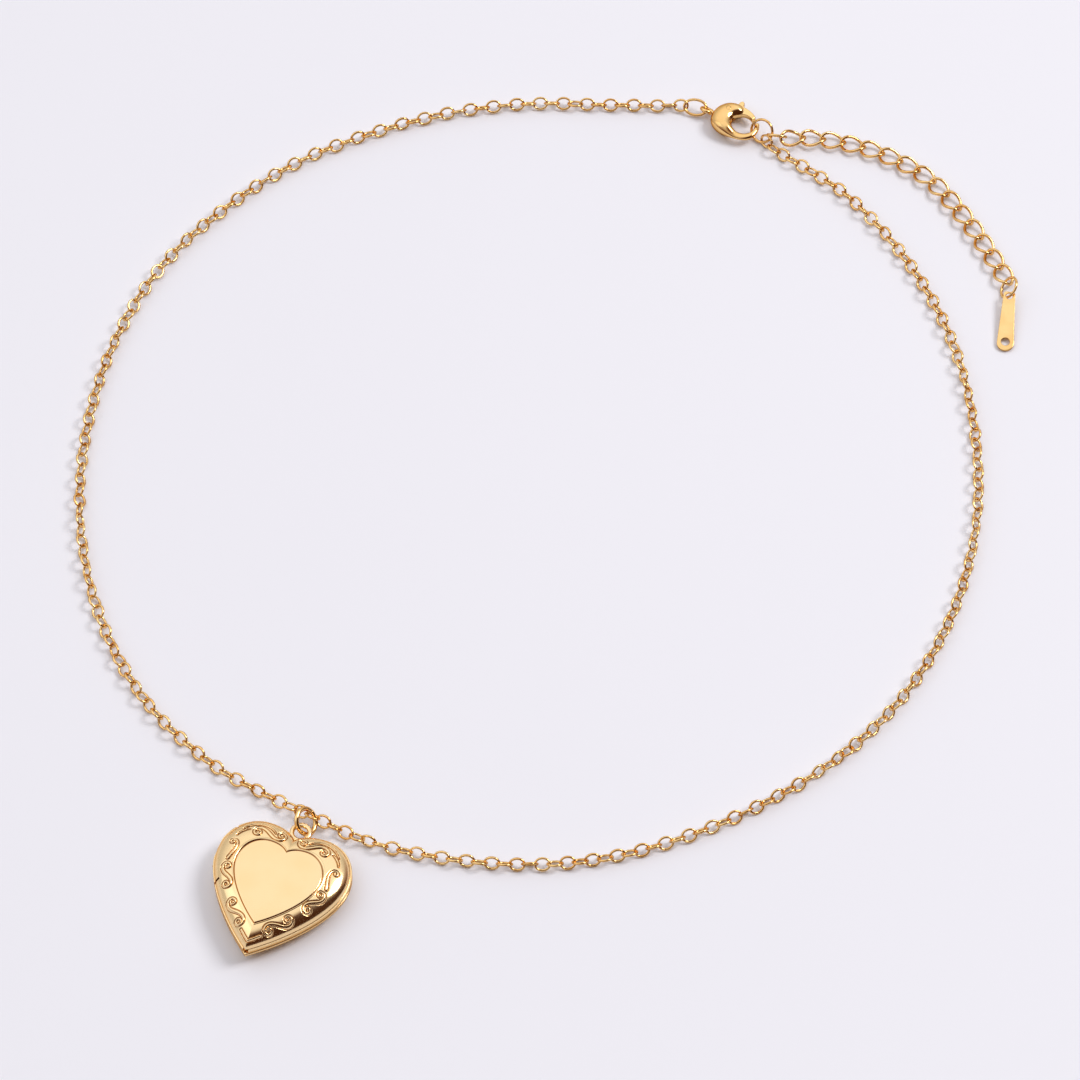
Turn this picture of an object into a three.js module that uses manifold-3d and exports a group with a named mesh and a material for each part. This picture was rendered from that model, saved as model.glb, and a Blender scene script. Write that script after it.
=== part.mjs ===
// Heart locket necklace: a two-leaf heart locket on a cable chain, with a lobster clasp and an
// extender chain. Millimetres, +Z up. The origin is the centre of the locket's flat back, which
// rests on z = 0. +Y is the heart's axis, towards the hanging loop, and -Y its point.
import * as THREE from 'three';
import { mergeVertices } from 'three/addons/utils/BufferGeometryUtils.js';
import Module from 'manifold-3d';

// ---- driving dimensions -------------------------------------------------------------------
const HEART = { halfWidth: 9.7, top: 10.0, notch: 8.5, tip: -10.2, lobeX: 4.1, shoulderY: 3.8 };
const HEART_STEPS = 8; // points on each of the three arcs of one half of the outline
const BACK_TOP = 2.1; // rim height of the back leaf
const FRONT_RIM = 2.3; // lower edge of the front leaf
const FRONT_TOP = 4.95; // crown of the front leaf
const POCKET_SCALE = 0.83; // pocket outline against the heart's outline
const INSERT_SCALE = 0.8; // what lies in the pocket

const LEAF_FLAT = -9.5; // the leaves' hinge side is flat here
const HINGE = { x: -8.85, z: 2.2, radius: 0.5, relief: 0.62, pin: 0.22, bore: 0.28 };
const HINGE_ENDS = [1.1, 6.1]; // lower and upper end of the barrel along Y
const KNUCKLE_GAP = 0.12;
const BARREL_SLOT = [0.1, 7.25]; // what is cut out of the leaves for the barrel, along Y
const NICKS = [ // slots in the front leaf's rim past both ends of the barrel: x, y and turn
  [-7.75, -1.6, 44], [-8.3, 7.85, -40],
];

const LOOP = { y: 10.45, z: 1.9, radius: 1.25, wire: 0.36, nest: 1.74 };
const PENDANT_RING = { at: [0, 12.38, 1.97], radius: 1.78, wire: 0.35, lean: 50 };

const CHAIN = { wire: 0.175, linkLength: 2.46, linkWidth: 2.06, tube: 1.0, centreZ: 1.0 };
const CHAIN_SIDES = 8;
const CHAIN_STEPS = 40; // steps along each half of the neck chain

const CLASP = { at: [14.6, 148.2, 1.35], yaw: -10, bulge: 1.15, hook: 0.38 };
const LEVER = { pivot: [-1.1, 1.0], reach: 4.2, gap: 0.1, half: 0.45, slot: 0.55 };
const RIVET = { radius: 0.3, bore: 0.36 };

const EXTENDER_LINKS = 15;
const EXTENDER = { wire: 0.225, halfWidth: 1.275, twist: 38, hookGap: 0.16, z: 0.8 };
const TAG = { length: 9.8, wide: 1.25, narrow: 0.85, thick: 0.3, hole: 0.5, tilt: 7.4 };

// Hand-chosen routes of the two halves of the neck chain, and of the extender: [x, y] on the
// usual height, or [x, y, z] where the chain rises to what it hangs on.
const ROUTE_LEFT = [
  [4.75, 147.8], [-3.5, 144.9], [-14.7, 141.0], [-25.2, 135.3], [-34.6, 127.9], [-43.3, 118.8],
  [-50.3, 107.1], [-55.2, 93.4], [-56.3, 78.2], [-53.9, 62.2], [-48.3, 47.0], [-39.5, 33.6],
  [-28.2, 23.2], [-15.6, 17.0], [-6.5, 14.9, 1.1], [-1.3, 14.05, 1.25],
];
const ROUTE_RIGHT = [
  [1.85, 13.65, 1.25], [9.1, 13.0, 1.05], [20.4, 14.3], [31.1, 17.3], [41.0, 22.2], [50.1, 29.3],
  [58.1, 37.8], [65.3, 48.2], [70.6, 60.9], [72.8, 75.6], [71.4, 91.5], [66.4, 106.7],
  [58.2, 121.2], [47.6, 132.7], [35.4, 141.1], [28.4, 143.7], [22.2, 145.6],
];
const ROUTE_EXTENDER = [
  [22.95, 147.5, 1.4], [26.0, 149.15, 1.0], [30.4, 150.2], [36.4, 150.5], [45.1, 148.6], [52.7, 143.5],
  [58.6, 138.2], [62.5, 134.3],
];

// ---- finishes -----------------------------------------------------------------------------
const finish = (color, roughness, metalness) => () =>
  new THREE.MeshStandardMaterial({ color, roughness, metalness });
const satinGold = finish(0xe6bd7c, 0.32, 1);
const polishedGold = finish(0xe8b866, 0.16, 1);
const springSteel = finish(0xb9bcc0, 0.35, 1);
const paper = finish(0xf3eee4, 0.9, 0);
const acetate = finish(0xf4f7f8, 0.1, 0);

// ---- solids -------------------------------------------------------------------------------
const wasm = await Module();
wasm.setup();

function solid(geometry) {
  const bare = geometry.clone();
  bare.deleteAttribute('normal');
  bare.deleteAttribute('uv');
  const merged = mergeVertices(bare, 1e-4);
  const vertProperties = new Float32Array(merged.attributes.position.array);
  const triVerts = new Uint32Array(merged.index.array);
  return new wasm.Manifold(new wasm.Mesh({ numProp: 3, vertProperties, triVerts }));
}

function geometryOf(manifold) {
  const mesh = manifold.getMesh();
  const geometry = new THREE.BufferGeometry();
  geometry.setAttribute('position', new THREE.BufferAttribute(mesh.vertProperties, 3));
  geometry.setIndex(new THREE.BufferAttribute(mesh.triVerts, 1));
  geometry.computeVertexNormals();
  return geometry;
}

function piece(name, geometry, material) {
  const mesh = new THREE.Mesh(geometry, material());
  mesh.name = name;
  return mesh;
}

// Sets a mesh down at a point, turned in degrees: yaw about Z, pitch about its own width, and
// roll about its own length.
function place(mesh, [x, y, z], yaw = 0, roll = 0, pitch = 0) {
  const turn = [roll, pitch, yaw].map(THREE.MathUtils.degToRad);
  mesh.position.set(x, y, z);
  mesh.rotation.set(...turn, 'ZYX');
  return mesh;
}

function box(lowest, highest) {
  const size = highest.map((value, axis) => value - lowest[axis]);
  const middle = highest.map((value, axis) => (value + lowest[axis]) / 2);
  return solid(new THREE.BoxGeometry(...size).translate(...middle));
}

// A round bar between two heights along Z.
function post(x, y, low, high, radius, sides = 24) {
  const bar = new THREE.CylinderGeometry(radius, radius, high - low, sides);
  return solid(bar.rotateX(Math.PI / 2).translate(x, y, (low + high) / 2));
}

// A round bar along Y at the hinge line.
function hingeBar(low, high, radius) {
  const bar = new THREE.CylinderGeometry(radius, radius, high - low, 20);
  return solid(bar.translate(HINGE.x, (low + high) / 2, HINGE.z));
}

// ---- the heart ----------------------------------------------------------------------------
// Half outline from the notch over the lobe and the shoulder to the point, then mirrored.
function heartOutline() {
  const { halfWidth, top, notch, tip, lobeX, shoulderY } = HEART;
  const half = new THREE.Shape();
  half.moveTo(0, notch);
  half.bezierCurveTo(0.9, notch + 1.0, lobeX - 1.8, top, lobeX, top);
  half.bezierCurveTo(lobeX + 3.3, top, halfWidth, shoulderY + 3.4, halfWidth, shoulderY);
  half.bezierCurveTo(halfWidth, shoulderY - 4.8, 4.35, tip + 3.35, 0, tip);
  const right = half.getPoints(HEART_STEPS);
  const left = right.slice(1, -1).reverse().map((p) => new THREE.Vector2(-p.x, p.y));
  return right.concat(left).reverse();
}

const OUTLINE = heartOutline();

// Carries a profile of [scale, z] pairs round the heart. The profile runs counter-clockwise in
// the half plane; a pair of scale 0 is a point on the axis, and a profile without one is a ring.
function heartSolid(profile) {
  const positions = [];
  const rows = profile.map(([scale, z]) => {
    const first = positions.length / 3;
    const points = scale === 0 ? [new THREE.Vector2()] : OUTLINE;
    points.forEach((p) => positions.push(p.x * scale, p.y * scale, z));
    return { first, single: scale === 0 };
  });
  const faces = [];
  const closed = profile[0][0] !== 0;
  const count = OUTLINE.length;
  for (let j = 0; j < rows.length - (closed ? 0 : 1); j += 1) {
    const low = rows[j];
    const high = rows[(j + 1) % rows.length];
    for (let i = 0; i < count; i += 1) {
      const k = (i + 1) % count;
      if (low.single) faces.push(low.first, high.first + k, high.first + i);
      else if (high.single) faces.push(low.first + i, low.first + k, high.first);
      else {
        faces.push(low.first + i, low.first + k, high.first + k);
        faces.push(low.first + i, high.first + k, high.first + i);
      }
    }
  }
  const geometry = new THREE.BufferGeometry();
  geometry.setAttribute('position', new THREE.Float32BufferAttribute(positions, 3));
  geometry.setIndex(faces);
  return geometry;
}

// ---- locket leaves ------------------------------------------------------------------------
const third = (HINGE_ENDS[1] - HINGE_ENDS[0]) / 3;
const KNUCKLES = [0, 1, 2].map((i) => [
  HINGE_ENDS[0] + i * third + (i > 0 ? KNUCKLE_GAP / 2 : 0),
  HINGE_ENDS[0] + (i + 1) * third - (i < 2 ? KNUCKLE_GAP / 2 : 0),
]);

// A leaf is flattened on its hinge side and slotted for the barrel up to a height, relieved
// round the other leaf's knuckles and joined to its own, then drilled for the pin and hollowed
// where the hanging loop nests.
function leaf(shell, own, others, slotTop, loopLow, loopHigh) {
  const [slotLow, slotHigh] = BARREL_SLOT;
  let body = shell.subtract(box([-12, -12, -1], [LEAF_FLAT, 12, 6]))
    .subtract(box([-12, slotLow, -1], [HINGE.x, slotHigh, slotTop]));
  for (const [low, high] of others) {
    body = body.subtract(hingeBar(low - KNUCKLE_GAP, high + KNUCKLE_GAP, HINGE.relief));
  }
  for (const [low, high] of own) body = body.add(hingeBar(low, high, HINGE.radius));
  body = body.subtract(hingeBar(HINGE_ENDS[0] - 1, HINGE_ENDS[1] + 1, HINGE.bore));
  return body.subtract(post(0, LOOP.y, loopLow, loopHigh, LOOP.nest, 28));
}

const backShell = solid(heartSolid([
  [0, 0], [0.7, 0], [0.8, 0.25], [0.9, 0.8], [0.965, 1.3], [1, 1.7], [1, BACK_TOP - 0.1],
  [0.99, BACK_TOP], [POCKET_SCALE, BACK_TOP], [POCKET_SCALE, 0.55], [0, 0.55],
]));
const frontShell = solid(heartSolid([
  [0, 4.15], [0.6, 4.1], [POCKET_SCALE, 3.6], [POCKET_SCALE, FRONT_RIM], [0.99, FRONT_RIM],
  [1, FRONT_RIM + 0.1], [1, 2.85], [0.992, 2.96], [0.98, 3.0], [0.965, 3.43], [0.93, 3.85],
  [0.87, 4.27], [0.79, 4.55], [0.7, 4.73], [0.655, 4.78], [0.635, 4.68], [0.61, 4.81],
  [0.35, 4.9], [0, FRONT_TOP],
]));
const nailNotch = box([-0.45, HEART.tip - 1, FRONT_RIM - 1], [0.45, HEART.tip + 0.75, 2.75]);
const nicks = NICKS.map(([x, y, turn]) => solid(
  new THREE.BoxGeometry(1.2, 0.34, 1.1).rotateZ(THREE.MathUtils.degToRad(turn)).translate(x, y, 2.75),
));

const loopTop = LOOP.z + LOOP.wire + 0.15;
const backCover = leaf(backShell, [KNUCKLES[1]], [KNUCKLES[0], KNUCKLES[2]], 3, 1.3, 3);
const frontCover = leaf(frontShell, [KNUCKLES[0], KNUCKLES[2]], [KNUCKLES[1]], 2.75, 2, loopTop)
  .subtract(nailNotch).subtract(nicks[0]).subtract(nicks[1]);

function inserts(leafName, cardZ, windowZ, frameZ) {
  const [cardLow, cardHigh] = cardZ;
  const [windowLow, windowHigh] = windowZ;
  const [frameLow, frameHigh] = frameZ;
  const slab = (low, high) =>
    heartSolid([[0, low], [INSERT_SCALE, low], [INSERT_SCALE, high], [0, high]]);
  const bezel = heartSolid([
    [0.66, frameLow], [INSERT_SCALE, frameLow], [INSERT_SCALE, frameHigh], [0.66, frameHigh],
  ]);
  return [
    piece(`photo_card_${leafName}`, slab(cardLow, cardHigh), paper),
    piece(`photo_window_${leafName}`, slab(windowLow, windowHigh), acetate),
    piece(`photo_frame_${leafName}`, bezel, satinGold),
  ];
}

const hingePin = new THREE.CylinderGeometry(
  HINGE.pin, HINGE.pin, HINGE_ENDS[1] - HINGE_ENDS[0] + 0.1, 16,
).translate(HINGE.x, (HINGE_ENDS[0] + HINGE_ENDS[1]) / 2, HINGE.z);

const locket = new THREE.Group();
locket.add(
  piece('back_cover', geometryOf(backCover), satinGold),
  piece('front_cover', geometryOf(frontCover), satinGold),
  piece('hinge_pin', hingePin, polishedGold),
  ...inserts('back', [0.6, 0.75], [0.8, 1.0], [1.05, 1.7]),
  ...inserts('front', [3.35, 3.5], [3.1, 3.3], [2.4, 3.05]),
);

// ---- rings and links ----------------------------------------------------------------------
// A closed oval of wire, twisted about its long axis from one end to the other.
class OvalCurve extends THREE.Curve {
  constructor(halfLength, halfWidth, twist = 0) {
    super();
    Object.assign(this, { halfLength, halfWidth, twist: THREE.MathUtils.degToRad(twist) });
  }

  getPoint(t, target = new THREE.Vector3()) {
    const angle = 2 * Math.PI * t;
    const across = this.halfWidth * Math.sin(angle);
    const roll = -this.twist * Math.cos(angle);
    const along = this.halfLength * Math.cos(angle);
    return target.set(along, across * Math.cos(roll), across * Math.sin(roll));
  }
}

function oval(halfLength, halfWidth, wire, twist = 0, steps = 16, sides = 6) {
  const curve = new OvalCurve(halfLength, halfWidth, twist);
  return new THREE.TubeGeometry(curve, steps, wire, sides, true);
}

const chainLink = () => oval(
  CHAIN.linkLength / 2 - CHAIN.wire, CHAIN.linkWidth / 2 - CHAIN.wire, CHAIN.wire,
);

const loop = new THREE.TorusGeometry(LOOP.radius, LOOP.wire, 8, 24);
locket.add(place(piece('hanging_loop', loop, satinGold), [0, LOOP.y, LOOP.z]));

// The pendant ring stands leaning in the loop: its plane holds the Y axis.
const pendantRing = new THREE.TorusGeometry(PENDANT_RING.radius, PENDANT_RING.wire, 8, 28)
  .rotateY(THREE.MathUtils.degToRad(PENDANT_RING.lean));

const rings = new THREE.Group();
rings.add(
  place(piece('pendant_ring', pendantRing, polishedGold), PENDANT_RING.at),
  place(piece('neck_link_pendant', chainLink(), polishedGold), [0.35, 13.82, 1.32], -7, -45),
  place(piece('neck_link_clasp_end', chainLink(), polishedGold), [6.52, 148.33, 1.05], 15, -45),
  place(piece('neck_link_ring_end', chainLink(), polishedGold), [20.75, 146.5, 0.9], -36, -48),
  place(piece('clasp_end_ring', oval(1.7, 1.15, 0.21), polishedGold), [8.72, 148.7, 1.1], 8, 38),
  place(piece('catch_ring', oval(1.72, 1.72, 0.2), polishedGold), [19.6, 147.6, 1.61], -15, 53),
  place(piece('connector_ring', oval(1.35, 0.85, 0.2), polishedGold), [22.02, 147.45, 1.72], 11, -54),
);

// ---- neck chain ---------------------------------------------------------------------------
function chainSection() {
  const points = Array.from({ length: CHAIN_SIDES }, (_, i) => {
    const angle = ((i + 0.5) * 2 * Math.PI) / CHAIN_SIDES;
    return new THREE.Vector2(CHAIN.tube * Math.cos(angle), CHAIN.tube * Math.sin(angle));
  });
  return new THREE.Shape(points);
}

function chainTube(route) {
  const points = route.map(([x, y, z = CHAIN.centreZ]) => new THREE.Vector3(x, y, z));
  const path = new THREE.CatmullRomCurve3(points, false, 'centripetal');
  return new THREE.ExtrudeGeometry(chainSection(), { steps: CHAIN_STEPS, extrudePath: path });
}

const chain = new THREE.Group();
chain.add(
  piece('neck_chain_left', chainTube(ROUTE_LEFT), polishedGold),
  piece('neck_chain_right', chainTube(ROUTE_RIGHT), polishedGold),
);

// ---- lobster clasp ------------------------------------------------------------------------
// Half thickness along the clasp: full at the bulb, thin along the hook.
function claspHalf(u) {
  const t = THREE.MathUtils.smoothstep(u, -0.6, 2.4);
  return THREE.MathUtils.lerp(CLASP.bulge, CLASP.hook, t);
}

function claspBlank() {
  const shape = new THREE.Shape();
  shape.moveTo(-3.0, -0.5);
  shape.bezierCurveTo(-2.9, -2.2, -1.6, -3.0, 0.6, -2.95);
  shape.bezierCurveTo(2.9, -2.9, 4.55, -2.3, 4.5, -0.3);
  shape.bezierCurveTo(4.5, 2.2, 1.8, 2.9, -0.4, 2.75);
  shape.bezierCurveTo(-2.0, 2.6, -3.1, 1.3, -3.0, -0.5);
  const opening = new THREE.Path();
  opening.absellipse(1.98, -0.05, 1.74, 1.6, 0, 2 * Math.PI, true);
  shape.holes.push(opening);
  const geometry = new THREE.ExtrudeGeometry(shape, {
    depth: 1.1, bevelThickness: 0.45, bevelSize: 0.32, bevelOffset: -0.32,
    bevelSegments: 2, curveSegments: 9,
  }).translate(0, 0, -0.55);
  const position = geometry.attributes.position;
  for (let i = 0; i < position.count; i += 1) {
    position.setZ(i, position.getZ(i) * claspHalf(position.getX(i)));
  }
  return solid(geometry);
}

const [pivotU, pivotV] = LEVER.pivot;
const gate = post(pivotU, pivotV, -3, 3, LEVER.reach + LEVER.gap, 64)
  .intersect(box([0.3, 1.05, -2], [5, 5, 2]));
const leverSlot = box([-2.15, -0.3, -LEVER.slot], [1.1, 4, LEVER.slot]);
const eye = solid(new THREE.TorusGeometry(0.78, 0.28, 8, 20)
  .rotateX(THREE.MathUtils.degToRad(-40)).translate(-4.15, -0.15, -0.2));
const neck = solid(new THREE.CylinderGeometry(0.5, 0.42, 0.9, 12)
  .rotateZ(Math.PI / 2).translate(-2.95, -0.25, -0.12));
const claspBody = claspBlank().add(neck).add(eye)
  .subtract(gate)
  .subtract(leverSlot)
  .subtract(post(pivotU, pivotV, -2, 2, RIVET.bore, 16));

function leverBlank() {
  const shape = new THREE.Shape();
  shape.moveTo(pivotU - 0.8, pivotV);
  shape.bezierCurveTo(-1.9, 1.9, -1.2, 2.2, -0.55, 2.35);
  shape.lineTo(-0.3, 3.35);
  shape.bezierCurveTo(-0.2, 3.65, 0.2, 3.65, 0.35, 3.35);
  shape.lineTo(0.6, 2.75);
  shape.bezierCurveTo(1.8, 2.7, 2.9, 2.3, 3.6, 1.7);
  shape.lineTo(3.1, 1.1);
  shape.bezierCurveTo(2.4, 1.75, 1.3, 1.75, 0.6, 1.05);
  shape.bezierCurveTo(0.1, 0.55, -0.4, 0.25, -1.1, 0.2);
  shape.bezierCurveTo(-1.55, 0.2, -1.9, 0.55, pivotU - 0.8, pivotV);
  const geometry = new THREE.ExtrudeGeometry(shape, {
    depth: 2 * LEVER.half, bevelEnabled: false, curveSegments: 7,
  });
  return solid(geometry.translate(0, 0, -LEVER.half));
}

const claspLever = leverBlank()
  .intersect(post(pivotU, pivotV, -1, 1, LEVER.reach, 64))
  .subtract(post(pivotU, pivotV, -1, 1, RIVET.bore, 16))
  .subtract(post(pivotU, pivotV, 0.02, 1, 0.68, 20));

const rivet = post(pivotU, pivotV, -1.12, 1.12, RIVET.radius, 16);

// A torsion coil round the rivet, in the recess on top of the lever.
class Coil extends THREE.Curve {
  getPoint(t, target = new THREE.Vector3()) {
    const angle = 2 * Math.PI * 2.25 * t;
    return target.set(
      pivotU + 0.52 * Math.cos(angle), pivotV + 0.52 * Math.sin(angle), 0.12 + 0.34 * t,
    );
  }
}
const wireSection = new THREE.Shape().absarc(0, 0, 0.06, 0, 2 * Math.PI);
const coil = new THREE.ExtrudeGeometry(wireSection, {
  steps: 32, extrudePath: new Coil(), curveSegments: 3,
});

const clasp = new THREE.Group();
clasp.add(
  piece('clasp_body', geometryOf(claspBody), polishedGold),
  piece('clasp_lever', geometryOf(claspLever), polishedGold),
  piece('clasp_rivet', geometryOf(rivet), polishedGold),
  piece('clasp_spring', coil, springSteel),
);
place(clasp, CLASP.at, CLASP.yaw);

// ---- extender chain and tag ---------------------------------------------------------------
const extenderPath = new THREE.CatmullRomCurve3(
  ROUTE_EXTENDER.map(([x, y, z = EXTENDER.z]) => new THREE.Vector3(x, y, z)), false, 'centripetal',
);
extenderPath.arcLengthDivisions = 600;
const joints = extenderPath.getSpacedPoints(EXTENDER_LINKS);
const extender = new THREE.Group();
for (let i = 0; i < EXTENDER_LINKS; i += 1) {
  const [tail, head] = [joints[i], joints[i + 1]];
  const halfLength = tail.distanceTo(head) / 2 + EXTENDER.wire + EXTENDER.hookGap / 2;
  const link = oval(halfLength, EXTENDER.halfWidth, EXTENDER.wire, EXTENDER.twist);
  const yaw = THREE.MathUtils.radToDeg(Math.atan2(head.y - tail.y, head.x - tail.x));
  const pitch = THREE.MathUtils.radToDeg(Math.asin((tail.z - head.z) / tail.distanceTo(head)));
  const centre = tail.clone().lerp(head, 0.5).toArray();
  const name = `extender_link_${String(i + 1).padStart(2, '0')}`;
  extender.add(place(piece(name, link, polishedGold), centre, yaw, 0, pitch));
}

// The drop tag is a plate that widens from its ring end to its rounded foot, with two holes.
function tagPlate() {
  const { length, wide, narrow, thick } = TAG;
  const shape = new THREE.Shape();
  shape.moveTo(-narrow + 0.25, 0.75);
  shape.lineTo(-narrow, 0.45);
  shape.lineTo(-wide, wide + 0.75 - length);
  shape.absarc(0, wide + 0.75 - length, wide, Math.PI, 2 * Math.PI);
  shape.lineTo(narrow, 0.45);
  shape.lineTo(narrow - 0.25, 0.75);
  const ringHole = new THREE.Path().absarc(0, 0, TAG.hole, 0, 2 * Math.PI, true);
  const footHole = new THREE.Path().absarc(0, 2.2 - length, 0.62, 0, 2 * Math.PI, true);
  shape.holes.push(ringHole, footHole);
  const options = { depth: thick, bevelEnabled: false, curveSegments: 8 };
  return new THREE.ExtrudeGeometry(shape, options).translate(0, 0, -thick / 2);
}

const TAG_YAW = 14;
const TAG_RING_YAW = -70;
const lastJoint = joints[EXTENDER_LINKS];
const tagRing = oval(1.6, 1.6, 0.22);
const toTag = THREE.MathUtils.degToRad(TAG_RING_YAW);
const ringReach = 1.6 - EXTENDER.wire - EXTENDER.hookGap / 2;
const tagRingAt = [
  lastJoint.x + ringReach * Math.cos(toTag), lastJoint.y + ringReach * Math.sin(toTag), 1.4,
];
const tagAt = [
  tagRingAt[0] + 1.6 * Math.cos(toTag), tagRingAt[1] + 1.6 * Math.sin(toTag), tagRingAt[2],
];
extender.add(
  place(piece('tag_ring', tagRing, polishedGold), tagRingAt, TAG_RING_YAW, 50),
  place(piece('drop_tag', tagPlate(), polishedGold), tagAt, TAG_YAW, TAG.tilt),
);

const necklace = new THREE.Group();
necklace.add(locket, rings, chain, clasp, extender);
export default necklace;
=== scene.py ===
"""Heart locket necklace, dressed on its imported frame.

The frame gives the bodies and the joints. Every class below makes one sub-assembly of the
necklace in place of its plain solids: the locket's two leaves with their stamped scrolls, what
lies in them, the rings, the cable chain, the lobster clasp, the extender and its drop tag.
Sizes in the classes are millimetres, in the frame's own axes; meshes are written in metres.
"""
import logging
from dataclasses import dataclass, field
from enum import Enum

import bpy
import numpy as np
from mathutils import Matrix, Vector


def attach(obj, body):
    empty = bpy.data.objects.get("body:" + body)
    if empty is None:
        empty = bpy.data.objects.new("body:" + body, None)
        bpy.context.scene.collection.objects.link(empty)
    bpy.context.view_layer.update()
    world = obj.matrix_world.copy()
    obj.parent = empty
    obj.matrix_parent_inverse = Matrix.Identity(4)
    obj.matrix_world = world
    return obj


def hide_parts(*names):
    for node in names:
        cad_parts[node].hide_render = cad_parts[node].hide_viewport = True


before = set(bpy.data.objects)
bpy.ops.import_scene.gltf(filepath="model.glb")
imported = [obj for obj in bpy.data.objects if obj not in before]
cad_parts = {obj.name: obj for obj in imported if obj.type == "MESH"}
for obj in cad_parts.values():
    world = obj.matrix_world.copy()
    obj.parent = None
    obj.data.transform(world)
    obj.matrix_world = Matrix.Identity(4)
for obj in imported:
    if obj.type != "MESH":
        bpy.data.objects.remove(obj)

Array = np.ndarray
Place = tuple[float, float, float]
Spot = tuple[float, float]
Colour = tuple[float, float, float, float]
Route = tuple[tuple[float, ...], ...]
Piece = bpy.types.Object
Node = bpy.types.Node
Socket = bpy.types.NodeSocket
Tree = bpy.types.NodeTree
Material = bpy.types.Material

MM = 0.001
TURN = 2.0 * np.pi

# Degrees past which an edge stays sharp: on a turned or lofted piece, a cut one, fine wire.
CREASE, CUT_CREASE, WIRE_CREASE = 40.0, 35.0, 75.0
LOG = logging.getLogger("necklace")


# ---- surfaces ------------------------------------------------------------------------------
@dataclass
class Surface:
    """Points in millimetres and the faces between them, each a tuple of point numbers.

    Attributes:
        points: Array of n rows of x, y, z.
        quads: Array of four point numbers a row.
        triangles: Array of three point numbers a row.
        lids: Flat many-sided faces, one tuple of point numbers each.
    """

    points: Array
    quads: Array = field(default_factory=lambda: np.empty((0, 4), int))
    triangles: Array = field(default_factory=lambda: np.empty((0, 3), int))
    lids: tuple[tuple[int, ...], ...] = ()

    def placed(
        self, at: Place, yaw: float = 0.0, roll: float = 0.0, pitch: float = 0.0,
    ) -> "Surface":
        """Turns the surface and sets it down.

        Args:
            at: Where its own origin goes.
            yaw: Degrees about Z, taken last.
            roll: Degrees about its own length, X, taken first.
            pitch: Degrees about Y, taken second.

        Returns:
            A new surface in the frame's axes.
        """
        turned = self.points @ rotation(yaw, roll, pitch).T + np.asarray(at)
        return Surface(turned, self.quads, self.triangles, self.lids)


def rotation(yaw: float, roll: float, pitch: float) -> Array:
    """Gives the matrix of a turn: roll about X, then pitch about Y, then yaw about Z.

    Args:
        yaw: Degrees about Z.
        roll: Degrees about X.
        pitch: Degrees about Y.

    Returns:
        A 3 by 3 matrix.
    """
    (cx, cy, cz), (sx, sy, sz) = (f(np.radians([roll, pitch, yaw])) for f in (np.cos, np.sin))
    about_x = np.array([[1, 0, 0], [0, cx, -sx], [0, sx, cx]])
    about_y = np.array([[cy, 0, sy], [0, 1, 0], [-sy, 0, cy]])
    about_z = np.array([[cz, -sz, 0], [sz, cz, 0], [0, 0, 1]])
    return about_z @ about_y @ about_x


def loft(rings: Array, closed: bool = False) -> Surface:
    """Skins a stack of closed rings.

    Point (i, j) is point j of ring i. A quad joins (i, j), (i, j+1), (i+1, j+1) and (i+1, j).
    Unless the stack closes on itself, each end is shut by a fan to the mean of its ring.

    Args:
        rings: Array of rings by points by 3.
        closed: True joins the last ring to the first.

    Returns:
        A closed surface.
    """
    count, around = rings.shape[:2]
    points = rings.reshape(-1, 3)
    numbers = np.arange(count * around).reshape(count, around)
    low = numbers if closed else numbers[:-1]
    high = np.roll(numbers, -1, axis=0) if closed else numbers[1:]
    quads = np.stack([low, np.roll(low, -1, axis=1), np.roll(high, -1, axis=1), high], axis=-1)
    if closed:
        return Surface(points, quads.reshape(-1, 4))
    ends = rings[[0, -1]].mean(axis=1)
    first, last = np.full(around, len(points)), np.full(around, len(points) + 1)
    start = np.stack([np.roll(numbers[0], -1), numbers[0], first], axis=1)
    finish = np.stack([numbers[-1], np.roll(numbers[-1], -1), last], axis=1)
    return Surface(
        np.concatenate([points, ends]), quads.reshape(-1, 4), np.concatenate([start, finish])
    )


def sweep(path: Array, across: Array, radius: Array, sides: int, closed: bool) -> Surface:
    """Carries a round section along a path.

    Ring i is centre i plus radius i times (cos a * across i + sin a * (tangent i x across i)),
    with a going once round.

    Args:
        path: Centres, n by 3.
        across: A vector at each centre, near enough square to the path.
        radius: One radius for each centre.
        sides: Points on each ring.
        closed: True where the path ends at its start.

    Returns:
        The tube as a closed surface.
    """
    if closed:
        tangent = np.roll(path, -1, axis=0) - np.roll(path, 1, axis=0)
    else:
        tangent = np.gradient(path, axis=0)
    tangent = unit(tangent)
    side = unit(across - (across * tangent).sum(1, keepdims=True) * tangent)
    up = np.cross(tangent, side)
    angle = TURN * np.arange(sides) / sides
    cos, sin = np.cos(angle)[None, :, None], np.sin(angle)[None, :, None]
    ring = cos * side[:, None] + sin * up[:, None]
    return loft(path[:, None] + np.asarray(radius).reshape(-1, 1, 1) * ring, closed)


def lathe(profile: Array, sides: int = 40) -> Surface:
    """Turns a profile about Z: row (r, z) becomes the ring (r cos a, r sin a, z).

    Args:
        profile: Rows of radius and height, from one end of the axis to the other.
        sides: Points on each ring.

    Returns:
        A closed surface.
    """
    angle = TURN * np.arange(sides) / sides
    round_it = np.stack([np.cos(angle), np.sin(angle)], axis=1)
    flat = profile[:, None, :1] * round_it[None]
    high = np.broadcast_to(profile[:, None, 1:], (*flat.shape[:2], 1))
    return loft(np.concatenate([flat, high], axis=2))


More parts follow.
